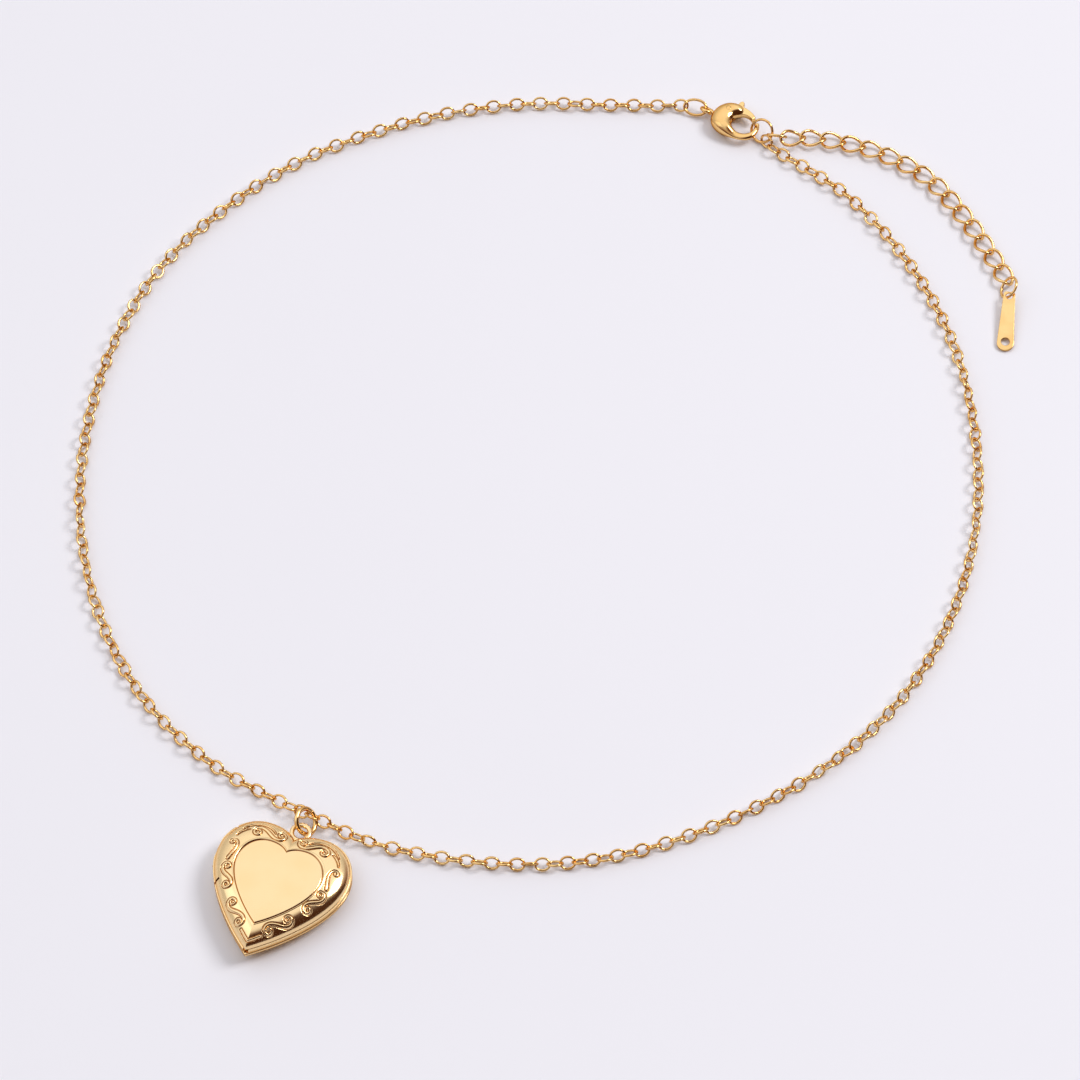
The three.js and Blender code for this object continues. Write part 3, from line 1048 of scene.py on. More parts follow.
@dataclass(frozen=True)
class Hinge:
    """The barrel on the heart's left: three knuckles on a pin along Y.

    Attributes:
        x: Of the pin's middle line.
        z: Of the pin's middle line.
        radius: Of a knuckle.
        relief: Of the hollow that clears the other leaf's knuckle.
        pin: Radius of the pin.
        bore: Radius of the hole for it.
        low: Lower end of the barrel, along Y.
        high: Upper end of the barrel.
        gap: Between two knuckles.
        slot: From where to where along Y the leaves are slotted for the barrel.
        flat: Where the leaves' left sides are cut flat.
        nicks: Small saw cuts in the front leaf's rim: x, y and degrees of each.
    """

    x: float = -8.85
    z: float = 2.2
    radius: float = 0.5
    relief: float = 0.62
    pin: float = 0.22
    bore: float = 0.28
    low: float = 1.1
    high: float = 6.1
    gap: float = 0.12
    slot: Spot = (0.1, 7.25)
    flat: float = -9.5
    nicks: tuple[Place, ...] = ((-7.75, -1.6, 44.0), (-8.3, 7.85, -40.0))

    def knuckles(self) -> list[Spot]:
        """Lower and upper end of each knuckle, from the heart's point upwards."""
        third = (self.high - self.low) / 3
        ends = [(self.low + i * third, self.low + (i + 1) * third) for i in range(3)]
        half = self.gap / 2
        return [
            (ends[0][0], ends[0][1] - half), (ends[1][0] + half, ends[1][1] - half),
            (ends[2][0] + half, ends[2][1]),
        ]

    def bar(self, low: float, high: float, radius: float, edge: float = 0.01) -> Surface:
        """A round bar on the hinge line between two places along Y."""
        stock = rounded_bar(radius, high - low, edge, 48)
        return stock.placed((self.x, (low + high) / 2, self.z), roll=-90.0)


@dataclass
class Locket:
    """Two hinged leaves, the hanging loop, and a card, a clear film and a frame in each leaf.

    Attributes:
        heart: The outline that all follow.
        hinge: Sizes of the hinge.
        stamping: The pattern on the front.
        foot: Height where the front's dome starts.
        foot_scale: How far out it starts, as a part of the outline.
        rise: How high the dome stands over its foot.
        panel: Edge of the plain heart in the middle, as a part of the outline.
        pocket: Wall of the hollow inside a leaf, likewise.
        insert: Rim of the cards, films and frames, likewise.
        frame_hole: Opening of a frame, likewise.
        crease: Depth and reach of the line pressed in round the panel: mm, part of the outline.
        bead: Height, place outside the panel and reach of the raised line beside it.
        seam_dirt_and_shade: Painted shade and dirt where the leaves meet, given as a negative
            relief mark.
        seam_dirt_and_shade_reach: How far above and below the leaves' joint that painted shade and
            dirt goes, mm.
        loop_y: Middle of the hanging loop.
        loop_z: Its height.
        loop_radius: To the middle of its wire.
        loop_wire: Radius of its wire.
        loop_nest: Radius of the hollow in both leaves that it sits in.
    """

    heart: HeartShape = HeartShape()
    hinge: Hinge = Hinge()
    stamping: Stamping = Stamping()
    foot: float = 3.0
    foot_scale: float = 0.98
    rise: float = 1.9
    panel: float = 0.635
    pocket: float = 0.83
    insert: float = 0.8
    frame_hole: float = 0.66
    crease: Spot = (0.1, 0.0085)
    bead: Place = (0.045, 0.022, 0.009)
    seam_dirt_and_shade: float = 0.1
    seam_dirt_and_shade_reach: float = 0.09
    loop_y: float = 10.45
    loop_z: float = 1.9
    loop_radius: float = 1.25
    loop_wire: float = 0.34
    loop_nest: float = 1.74

    def dome(self, scale: Array) -> Array:
        """Height of the plain dome: foot + rise * (1 - (s / foot scale)^5.8)^0.6, and a slight
        crown over the panel.

        Args:
            scale: How far out, as a part of the outline.

        Returns:
            The heights.
        """
        out = np.clip(scale / self.foot_scale, 0.0, 1.0)
        crown = 0.05 * np.clip(1.0 - (scale / self.panel) ** 2, 0.0, 1.0)
        return self.foot + self.rise * (1.0 - out**5.8) ** 0.6 + crown

    def front_profile(self) -> Array:
        """Rows of the front leaf, from the ceiling of its pocket round the rim to its crown."""
        wall = np.linspace(0.0, 1.0, 16, endpoint=False)
        scale = np.concatenate([
            self.foot_scale - 0.05 * wall**1.8,
            np.linspace(0.93, 0.66, 52, endpoint=False),
            np.linspace(0.66, 0.60, 15, endpoint=False),
            np.linspace(0.60, 0.03, 14),
        ])
        under = profile_rows(
            ((0.05, 4.15), (0.6, 4.1), 3), ((0.6, 4.1), (0.8, 3.68), 3),
            ((0.8, 3.68), (self.pocket, 3.55), 1), ((self.pocket, 3.55), (self.pocket, 2.34), 2),
            ((self.pocket, 2.34), (self.pocket + 0.004, 2.3), 1), ((0.834, 2.3), (0.988, 2.3), 2),
            ((0.988, 2.3), (0.996, 2.34), 1), ((0.996, 2.34), (1.0, 2.4), 1),
            ((1.0, 2.4), (1.0, 2.84), 2), ((1.0, 2.84), (0.9985, 2.92), 1),
            ((0.9985, 2.92), (0.994, 2.975), 1), ((0.994, 2.975), (0.988, 2.99), 1),
            ((0.988, 2.99), (0.983, 2.985), 1),
        )
        return np.concatenate([under, np.stack([scale, self.dome(scale)], axis=1)])

    def back_profile(self) -> Array:
        """Rows of the back leaf, from the floor of its pocket round the rim to its flat back."""
        belly = cubics((1.0, 1.7), ((0.99, 1.45), (0.93, 0.75), (0.7, 0.0)), count=18)
        return np.concatenate([
            profile_rows(
                ((0.05, 0.55), (0.82, 0.55), 4), ((0.82, 0.55), (self.pocket, 0.62), 1),
                ((self.pocket, 0.62), (self.pocket, 2.06), 2),
                ((self.pocket, 2.06), (0.834, 2.1), 1), ((0.834, 2.1), (0.988, 2.1), 2),
                ((0.988, 2.1), (0.996, 2.06), 1), ((0.996, 2.06), (1.0, 2.0), 1),
                ((1.0, 2.0), (1.0, 1.75), 2),
            )[:-1],
            belly,
            profile_rows(((0.68, 0.0), (0.05, 0.0), 5)),
        ])

    def spread(self, points: Array) -> Array:
        """How far out each point is, as a part of the outline's distance in that direction."""
        loop = self.heart.outline(720)
        ways, sizes = np.arctan2(loop[:, 1], loop[:, 0]), np.hypot(*loop.T)
        order = np.argsort(ways)
        x, y = points[:, 0], points[:, 1]
        rim = np.interp(np.arctan2(y, x), ways[order], sizes[order], period=TURN)
        return np.hypot(x, y) / rim

    def pattern(self, points: Array) -> Array:
        """Height of all that is pressed into the front: the scrolls, and the panel's edge.

        The edge is a crease of -depth * exp(-((s - panel) / reach)^2), with s how far out a
        point is, and a raised bead of the same form just outside it.

        Args:
            points: Rows of x, y, z in mm.

        Returns:
            The height at each point, mm, 0 off the border's face.
        """
        scale = self.spread(points)
        face = (points[:, 2] > self.foot + 0.15) & (scale < self.foot_scale)
        depth, reach = self.crease
        crease = -depth * np.exp(-(((scale - self.panel) / reach) ** 2))
        height, beside, reach = self.bead
        bead = height * np.exp(-(((scale - self.panel - beside) / reach) ** 2))
        scrolls = self.stamping.relief(points[:, 0], points[:, 1])
        off_panel = np.clip((scale - self.panel - 0.02) / 0.02, 0.0, 1.0)
        off_rim = np.clip((0.955 - scale) / 0.03, 0.0, 1.0)
        clear = off_panel * off_rim
        return np.where(face, crease + bead + scrolls * clear, 0.0)

    def leaf(
        self, blank: Piece, own: list[Spot], others: list[Spot], slot_top: float, nest: Spot,
        more: tuple[Surface, ...] = (),
    ) -> Piece:
        """Flattens a leaf at the hinge, slots and relieves it, joins its knuckles and drills them.

        Args:
            blank: The leaf's shell.
            own: Ends of the leaf's own knuckles.
            others: Ends of the other leaf's knuckles.
            slot_top: How high the slot for the barrel reaches.
            nest: Lowest and highest place of the hollow for the hanging loop.
            more: What else is cut away from this leaf alone.

        Returns:
            The finished leaf.
        """
        hinge = self.hinge
        clear, (start, end) = -12.0, hinge.slot
        first = [
            box_solid((clear, clear, -1.0), (hinge.flat, -clear, 6.0)),
            box_solid((clear, start, -1.0), (hinge.x, end, slot_top)),
            *(hinge.bar(low - hinge.gap, high + hinge.gap, hinge.relief) for low, high in others),
        ]
        post = rounded_bar(self.loop_nest, nest[1] - nest[0], 0.05, 72)
        last = [
            hinge.bar(hinge.low - 1.0, hinge.high + 1.0, hinge.bore),
            post.placed((0.0, self.loop_y, (nest[0] + nest[1]) / 2)),
            *more,
        ]
        return worked(blank, [
            *((Cut.TAKE_AWAY, tool) for tool in first),
            *((Cut.ADD, hinge.bar(low, high, hinge.radius, 0.07)) for low, high in own),
            *((Cut.TAKE_AWAY, tool) for tool in last),
        ])

    def front(self) -> Piece:
        """Makes the front leaf: the domed shell with its scrolls, its knuckles and nail notch."""
        shell = self.heart.loft(self.front_profile(), 800)
        shell.points[:, 2] += self.pattern(shell.points)
        lower, middle, upper = self.hinge.knuckles()
        tip, shelf = self.heart.tip, 2.75
        nail = box_solid((-0.4, tip - 1.0, 1.3), (0.4, tip + 0.8, 3.15))
        nick = box_solid((-0.6, -0.17, -0.55), (0.6, 0.17, 1.7))
        nicks = [nick.placed((x, y, shelf), yaw=turn) for x, y, turn in self.hinge.nicks]
        piece = self.leaf(
            build("locket_front_leaf", shell), own=[lower, upper], others=[middle],
            slot_top=shelf, nest=(2.0, self.loop_z + self.loop_wire + 0.17), more=(nail, *nicks),
        )
        points = vertices(piece)
        # The relief mark also carries painted shade and dirt on the outer rim where the leaves
        # meet.
        mark(piece, "relief", self.pattern(points) + self.seam_dirt_and_shade_mark(points, 2.3))
        return piece

    def seam_dirt_and_shade_mark(self, points: Array, height: float) -> Array:
        """Paints shade and dirt on the outer rim where the leaves meet: -depth * exp(-((z -
        height) / reach)^2).

        Args:
            points: Rows of x, y, z in mm.
            height: Where the leaf's rim ends.

        Returns:
            What to add to the relief mark at each point.
        """
        outside = self.spread(points) > 0.992
        off = (points[:, 2] - height) / self.seam_dirt_and_shade_reach
        return np.where(outside, -self.seam_dirt_and_shade * np.exp(-(off**2)), 0.0)

    def back(self) -> Piece:
        """Makes the back leaf: the shallow shell and the middle knuckle."""
        lower, middle, upper = self.hinge.knuckles()
        shell = self.heart.loft(self.back_profile(), 420)
        piece = self.leaf(
            build("locket_back_leaf", shell), own=[middle], others=[lower, upper],
            slot_top=3.0, nest=(1.3, 3.0),
        )
        # The relief mark here is only painted shade and dirt on the outer rim where the leaves
        # meet.
        mark(piece, "relief", self.seam_dirt_and_shade_mark(vertices(piece), 2.1))
        return piece

    def hinge_rod(self) -> Piece:
        """Makes the pin: a round rod with softly domed ends."""
        hinge = self.hinge
        rod = rounded_bar(hinge.pin, hinge.high - hinge.low + 0.1, 0.12, 32)
        middle = (hinge.x, (hinge.low + hinge.high) / 2, hinge.z)
        return build("hinge_rod", rod.placed(middle, roll=-90.0))

    def slab(self, name: str, low: float, high: float, edge: float) -> Piece:
        """Makes a heart-shaped sheet with softened rims.

        Args:
            name: The piece's name.
            low: Height of its lower face.
            high: Height of its upper face.
            edge: How far its rims are eased, mm.

        Returns:
            The piece.
        """
        far, ease = self.insert, edge / self.heart.half_width
        profile = profile_rows(
            ((0.05, low), (far - ease, low), 4), ((far - ease, low), (far, low + edge), 1),
            ((far, low + edge), (far, high - edge), 1),
            ((far, high - edge), (far - ease, high), 1), ((far - ease, high), (0.05, high), 4),
        )
        return build(name, self.heart.loft(profile, 240))

    def bezel(self, name: str, low: float, high: float) -> Piece:
        """Makes the frame that holds a film down: a heart-shaped ring with rolled rims.

        Args:
            name: The piece's name.
            low: Height of its lower face.
            high: Height of its upper face.

        Returns:
            The piece.
        """
        loop = self.heart.outline(360)
        out, up = soft_square(TURN * np.arange(24) / 24, 0.5)
        middle, reach = (self.insert + self.frame_hole) / 2, (self.insert - self.frame_hole) / 2
        across = middle + reach * out
        lift = (high + low) / 2 + (high - low) / 2 * up
        rings = np.empty((24, len(loop), 3))
        rings[..., :2] = loop[None] * across[:, None, None]
        rings[..., 2] = lift[:, None]
        return build(name, loft(rings, closed=True), 50.0)

    def loop(self) -> Piece:
        """Makes the hanging loop: a ring whose section is a soft square, as stamped loops have."""
        way = TURN * np.arange(96) / 96
        out, lift = soft_square(TURN * np.arange(24) / 24, 0.92)
        radius = self.loop_radius + self.loop_wire * out
        rings = np.stack(np.broadcast_arrays(
            radius[None] * np.cos(way)[:, None], radius[None] * np.sin(way)[:, None],
            self.loop_wire * lift[None],
        ), axis=-1)
        ring = loft(rings, closed=True)
        return build("hanging_eye", ring.placed((0.0, self.loop_y, self.loop_z)))

    def make(self, dresser: Dresser) -> None:
        """Makes and dresses the whole locket."""
        dress = dresser.dress
        dress(self.back(), Finish.SATIN, "back_leaf", "back_cover")
        dress(self.front(), Finish.SATIN, "front_leaf", "front_cover")
        dress(self.hinge_rod(), Finish.POLISHED, "back_leaf", "hinge_pin")
        dress(self.loop(), Finish.SATIN, "back_leaf", "hanging_loop")
        heights = {
            "back": ((0.6, 0.75), (0.8, 1.0), (1.05, 1.7)),
            "front": ((3.35, 3.5), (3.1, 3.3), (2.4, 3.05)),
        }
        for side, (card, film, rim) in heights.items():
            paper = self.slab(f"paper_heart_{side}", *card, 0.03)
            clear = self.slab(f"clear_heart_{side}", *film, 0.04)
            bezel = self.bezel(f"retaining_frame_{side}", *rim)
            body = f"{side}_leaf"
            dress(paper, Finish.CARD, body, f"photo_card_{side}")
            dress(clear, Finish.FILM, body, f"photo_window_{side}")
            dress(bezel, Finish.SATIN, body, f"photo_frame_{side}")


# ---- rings and links -----------------------------------------------------------------------
@dataclass(frozen=True)
class WireOval:
    """A closed oval of round wire, flat or twisted about its length.

    Attributes:
        half_length: From the middle to the wire's centre at an end.
        half_width: From the middle to the wire's centre at a side.
        wire: Radius of the wire.
        twist: Degrees that each end is turned from the middle.
        split: Gap of a jump ring's cut in mm, or 0 for a soldered ring.
        steps: Rings of points along the wire.
        sides: Points round the wire.
    """

    half_length: float
    half_width: float
    wire: float
    twist: float = 0.0
    split: float = 0.0
    steps: int = 72
    sides: int = 18

    def surface(self) -> Surface:
        """Works out the wire's skin.

        The centre line is (a cos t, b sin t cos r, b sin t sin r) with the roll r of
        -twist * cos t. A soldered ring closes on itself. A jump ring stops short at both ends
        of its cut, at t near a quarter turn, where three shrinking rings round each end off.

        Returns:
            The wire as a closed surface.
        """
        if not self.split:
            t = TURN * np.arange(self.steps) / self.steps
            radius = np.full(self.steps, self.wire)
        else:
            short = self.split / 2 / self.half_length
            ease = self.wire * 0.25 / self.half_length * np.array([0.0, 0.15, 0.5, 1.0])
            plain = short + 1.6 * ease[-1]
            t = TURN / 4 + np.concatenate([
                short + ease, np.linspace(plain, TURN - plain, self.steps),
                TURN - short - ease[::-1],
            ])
            shrink = np.array([0.72, 0.87, 0.97, 1.0])
            radius = self.wire * np.concatenate([shrink, np.ones(self.steps), shrink[::-1]])
        roll = -np.radians(self.twist) * np.cos(t)
        across = self.half_width * np.sin(t)
        path = np.stack(
            [self.half_length * np.cos(t), across * np.cos(roll), across * np.sin(roll)], axis=1
        )
        upright = np.stack([np.zeros_like(t), -np.sin(roll), np.cos(roll)], axis=1)
        return sweep(path, upright, radius, self.sides, closed=not self.split)


@dataclass(frozen=True)
class HungRing:
    """A jump ring in its place.

    Attributes:
        name: The piece's name.
        ring: Its wire.
        at: Its middle.
        turn: Degrees of yaw, roll and pitch.
        body: The body it moves with.
        node: The plain solid it replaces.
    """

    name: str
    ring: WireOval
    at: Place
    turn: Place
    body: str
    node: str

    def make(self, dresser: Dresser) -> None:
        """Makes and dresses the ring."""
        piece = build(self.name, self.ring.surface().placed(self.at, *self.turn))
        dresser.dress(piece, Finish.POLISHED, self.body, self.node)


RING_CUT = 0.03
RINGS = (
    HungRing(
        "pendant_jump_ring", WireOval(1.78, 1.78, 0.33, split=RING_CUT, steps=110, sides=22),
        (0.0, 12.38, 1.97), (0.0, 0.0, 50.0), "pendant_ring", "pendant_ring",
    ),
    HungRing(
        "clasp_side_jump_ring", WireOval(1.7, 1.15, 0.21, split=RING_CUT),
        (8.72, 148.7, 1.1), (8.0, 38.0, 0.0), "neck_chain", "clasp_end_ring",
    ),
    HungRing(
        "catch_jump_ring", WireOval(1.72, 1.72, 0.2),
        (19.6, 147.6, 1.61), (-15.0, 53.0, 0.0), "neck_chain", "catch_ring",
    ),
    HungRing(
        "connector_jump_ring", WireOval(1.35, 0.85, 0.2, split=RING_CUT),
        (22.02, 147.45, 1.72), (11.0, -54.0, 0.0), "neck_chain", "connector_ring",
    ),
)


@dataclass
class NeckChain:
    """The cable chain: soldered oval links, each turned across its neighbours.

    Attributes:
        pitch: Middle to middle of two links.
        length: Of one link.
        width: Of one link.
        wire: Radius of the wire.
        rest: Height of the chain's middle line where it lies on a table.
        lean: Degrees that links lean to one side and the other in turn.
        sway: Degrees that a link may differ from that.
        held: Roll, in degrees, of the link that the pendant's ring hangs on.
    """

    pitch: float = 1.75
    length: float = 2.46
    width: float = 2.06
    wire: float = 0.185
    rest: float = 0.8
    lean: float = 46.0
    sway: float = 9.0
    held: float = -45.0
    left: Route = (
        (6.52, 148.33, 1.05), (4.75, 147.8), (-3.5, 144.9), (-14.7, 141.0), (-25.2, 135.3),
        (-34.6, 127.9), (-43.3, 118.8), (-50.3, 107.1), (-55.2, 93.4), (-56.3, 78.2),
        (-53.9, 62.2), (-48.3, 47.0), (-39.5, 33.6), (-28.2, 23.2), (-15.6, 17.0),
        (-6.5, 14.9, 1.0), (-1.3, 14.05, 1.2), (0.35, 13.82, 1.32),
    )
    right: Route = (
        (0.35, 13.82, 1.32), (1.85, 13.65, 1.2), (9.1, 13.0), (20.4, 14.3), (31.1, 17.3),
        (41.0, 22.2), (50.1, 29.3), (58.1, 37.8), (65.3, 48.2), (70.6, 60.9), (72.8, 75.6),
        (71.4, 91.5), (66.4, 106.7), (58.2, 121.2), (47.6, 132.7), (35.4, 141.1), (28.4, 143.7),
        (22.2, 145.6), (20.75, 146.5, 0.9),
    )

    def middles(self, route: Route) -> Array:
        """Places links on one side of the chain.

        Args:
            route: What the side passes through, x and y, or with a height of its own.

        Returns:
            The middle of each link, an even number of pitches from end to end.
        """
        line = centripetal(np.array([(*spot, self.rest)[:3] for spot in route]))
        total = running_length(line)[-1]
        pitches = 2 * round(total / self.pitch / 2)
        return along(line, np.linspace(0.0, total, pitches + 1))

    def make(self, dresser: Dresser) -> None:
        """Makes the chain in one piece, link by link as whole arrays.

        Link i is the one oval, rolled by the lean with alternate sign and a small sway, turned
        to the chord between its neighbours and set down on its middle.

        Args:
            dresser: Gives the chain its finish.
        """
        left, right = self.middles(self.left), self.middles(self.right)
        middles = np.concatenate([left, right[1:]])
        count = len(middles)
        heading = unit(np.gradient(middles, axis=0))
        level = unit(np.cross((0.0, 0.0, 1.0), heading))
        upright = np.cross(heading, level)
        chance = np.random.default_rng(11)
        roll = np.where(np.arange(count) % 2, self.lean, -self.lean)
        roll = roll + chance.normal(0.0, self.sway, count)
        roll[len(left) - 1] = self.held
        roll = np.radians(roll)[:, None]
        across = np.cos(roll) * level + np.sin(roll) * upright
        up = np.cross(heading, across)
        link = WireOval(
            self.length / 2 - self.wire, self.width / 2 - self.wire, self.wire, steps=16, sides=6,
        ).surface()
        turns = np.stack([heading, across, up], axis=1)
        points = np.einsum("pk,nkd->npd", link.points, turns) + middles[:, None]
        lift = np.maximum(0.01 - points[..., 2].min(axis=1), 0.0)
        points[..., 2] += lift[:, None]
        offset = len(link.points) * np.arange(count)[:, None, None]
        chain = Surface(points.reshape(-1, 3), (link.quads[None] + offset).reshape(-1, 4))
        piece = build("cable_chain", chain, WIRE_CREASE)
        dresser.dress(
            piece, Finish.POLISHED, "neck_chain", "neck_chain_left", "neck_chain_right",
            "neck_link_pendant", "neck_link_clasp_end", "neck_link_ring_end",
        )
        ends = middles[[0, -1]] + heading[[0, -1]] * [[-self.length / 2], [self.length / 2]]
        path = np.concatenate([ends[:1], middles, ends[1:]])
        float(running_length(path)[-1] * MM)
        LOG.info("cable chain of %d links", count)


# ---- the lobster clasp ---------------------------------------------------------------------
@dataclass
class LobsterClasp:
    """The clasp: a puffed claw with its swivel eye, a sprung lever, its rivet and its spring.

    Attributes:
        at: Its middle in the frame.
        yaw: Degrees it is turned about Z.
        bulge: Half thickness of the bulb.
        hook: Half thickness of the hook.
        pivot: Where the rivet stands.
        lever_half: Half thickness of the lever.
        slot_half: Half height of the slot it turns in.
        rivet: Radius of the rivet.
        rivet_bore: Radius of the holes for it.
        middle: Middle of the claw's opening.
        opening: Half width and half height of that opening.
    """

    at: Place = (14.6, 148.2, 1.35)
    yaw: float = -10.0
    bulge: float = 1.15
    hook: float = 0.38
    pivot: Spot = (-1.1, 1.0)
    lever_half: float = 0.45
    slot_half: float = 0.55
    rivet: float = 0.34
    rivet_bore: float = 0.36
    middle: Spot = (1.98, -0.05)
    opening: Spot = (1.74, 1.6)

    def set_down(self, part: Surface) -> Surface:
        """Moves a part from the clasp's own axes to its place in the frame."""
        return part.placed(self.at, self.yaw)

    def post(self, radius: float, length: float, edge: float, z: float = 0.0) -> Surface:
        """A round bar on the rivet's line, already set down."""
        return self.set_down(rounded_bar(radius, length, edge, 32).placed((*self.pivot, z)))

    def outline(self) -> Array:
        """The claw seen from above, anticlockwise, as four cubics."""
        loop = cubics(
            (-3.0, -0.5),
            ((-2.9, -2.2), (-1.6, -3.0), (0.6, -2.95)),
            ((2.9, -2.9), (4.55, -2.3), (4.5, -0.3)),
            ((4.5, 2.2), (1.8, 2.9), (-0.4, 2.75)),
            ((-2.0, 2.6), (-3.1, 1.3), (-3.0, -0.5)),
        )
        return loop[:-1]

    def claw(self) -> Surface:
        """Works out the claw as a section carried round its opening.

        At angle g about the opening's middle the section spans from the opening's ellipse to
        the outline, as mid + half * c along the ray and thick * s across it, where (c, s) is a
        superellipse. It runs from the bulb's upper left, over the bulb and the lower arm to
        the hook's tip, and both ends shrink along a quarter circle.

        Returns:
            The claw as a closed surface.
        """
        loop = self.outline() - self.middle
        ways = np.arctan2(loop[:, 1], loop[:, 0])
        order = np.argsort(ways)
        body = np.radians(np.linspace(128.0, 390.0, 86))
        cap = np.linspace(0.0, TURN / 4, 8)[1:]
        start, finish = np.radians(16.0), np.radians(8.0)
        angle = np.concatenate(
            [body[0] - start * np.sin(cap[::-1]), body, body[-1] + finish * np.sin(cap)]
        )
        shrink = np.concatenate([np.cos(cap[::-1]), np.ones(len(body)), np.cos(cap)])
        shrink = np.maximum(shrink, 0.02)
        outer = np.interp(angle, ways[order], np.hypot(*loop.T)[order], period=TURN)
        wide, high = self.opening
        inner = wide * high / np.hypot(high * np.cos(angle), wide * np.sin(angle))
        mid, half = (outer + inner) / 2, (outer - inner) / 2 * shrink
        x = self.middle[0] + mid * np.cos(angle)
        ease = np.clip((x + 0.6) / 3.0, 0.0, 1.0)
        thick = (self.bulge + (self.hook - self.bulge) * ease**2 * (3 - 2 * ease)) * shrink
        c, s = soft_square(TURN * np.arange(32) / 32, 0.9)
        out = mid[:, None] + half[:, None] * c[None]
        rings = np.stack([
            self.middle[0] + out * np.cos(angle)[:, None],
            self.middle[1] + out * np.sin(angle)[:, None],
            thick[:, None] * s[None],
        ], axis=-1)
        return loft(rings)

    def body(self) -> Piece:
        """Makes the claw, slotted for the lever and drilled for the rivet, with neck and eye."""
        profile = np.array([
            (0.3, -0.75), (0.46, -0.7), (0.5, -0.45), (0.4, -0.2), (0.4, 0.1), (0.52, 0.45),
            (0.55, 0.7),
        ])
        neck = lathe(profile, 32).placed((-2.95, -0.25, -0.12), pitch=90.0)
        wire = WireOval(0.78, 0.78, 0.28, steps=56)
        eye = wire.surface().placed((-4.15, -0.15, -0.2), roll=-40.0)
        slot = box_solid((-2.15, -0.3, -self.slot_half), (1.1, 4.0, self.slot_half))
        return worked(build("clasp_claw", self.set_down(self.claw())), [
            (Cut.ADD, self.set_down(neck)),
            (Cut.ADD, self.set_down(eye)),
            (Cut.TAKE_AWAY, self.set_down(slot)),
            (Cut.TAKE_AWAY, self.post(self.rivet_bore, 4.0, 0.02)),
        ])

    def lever(self) -> Piece:
        """Makes the lever: a plate with rounded rims, its thumb piece and its bore."""
        px, py = self.pivot
        line = cubics(
            (px - 0.8, py),
            ((-1.9, 1.9), (-1.2, 2.2), (-0.55, 2.35)),
            ((-0.42, 2.7), (-0.4, 3.05), (-0.3, 3.35)),
            ((-0.2, 3.65), (0.2, 3.65), (0.35, 3.35)),
            ((0.4, 3.1), (0.45, 2.8), (0.75, 2.74)),
            ((1.7, 2.65), (2.4, 2.4), (3.0, 1.93)),
            ((2.98, 1.7), (2.92, 1.5), (2.8, 1.3)),
            ((2.2, 1.75), (1.3, 1.75), (0.6, 1.05)),
            ((0.1, 0.55), (-0.4, 0.25), (px, 0.2)),
            ((-1.55, 0.2), (px - 0.8, 0.55), (px - 0.8, py)),
            count=(14, 8, 12, 10, 16, 6, 14, 12, 10),
        )[:-1]
        plate = rounded_plate(line[::-1], self.lever_half, 0.12)
        return worked(build("clasp_trigger", self.set_down(plate)), [
            (Cut.TAKE_AWAY, self.post(self.rivet_bore, 2.0, 0.02)),
            (Cut.TAKE_AWAY, self.post(0.68, 1.0, 0.02, 0.52)),
        ])

    def spring(self) -> Piece:
        """Makes the spring: wire on a helix of 2.25 turns round the rivet."""
        t = np.linspace(0.0, 1.0, 120)
        way = TURN * 2.25 * t
        x, y = self.pivot
        path = np.stack([x + 0.52 * np.cos(way), y + 0.52 * np.sin(way), 0.12 + 0.34 * t], axis=1)
        upright = np.tile([0.0, 0.0, 1.0], (len(t), 1))
        coil = sweep(path, upright, np.full(len(t), 0.06), 10, closed=False)
        return build("trigger_spring", self.set_down(coil))

    def make(self, dresser: Dresser) -> None:
        """Makes and dresses the clasp."""
        dresser.dress(self.body(), Finish.POLISHED, "clasp", "clasp_body")
        dresser.dress(self.lever(), Finish.POLISHED, "clasp_lever", "clasp_lever")
        rivet = build("trigger_rivet", self.post(self.rivet, 2.26, 0.05))
        dresser.dress(rivet, Finish.POLISHED, "clasp", "clasp_rivet")
        dresser.dress(self.spring(), Finish.SPRING, "clasp", "clasp_spring")


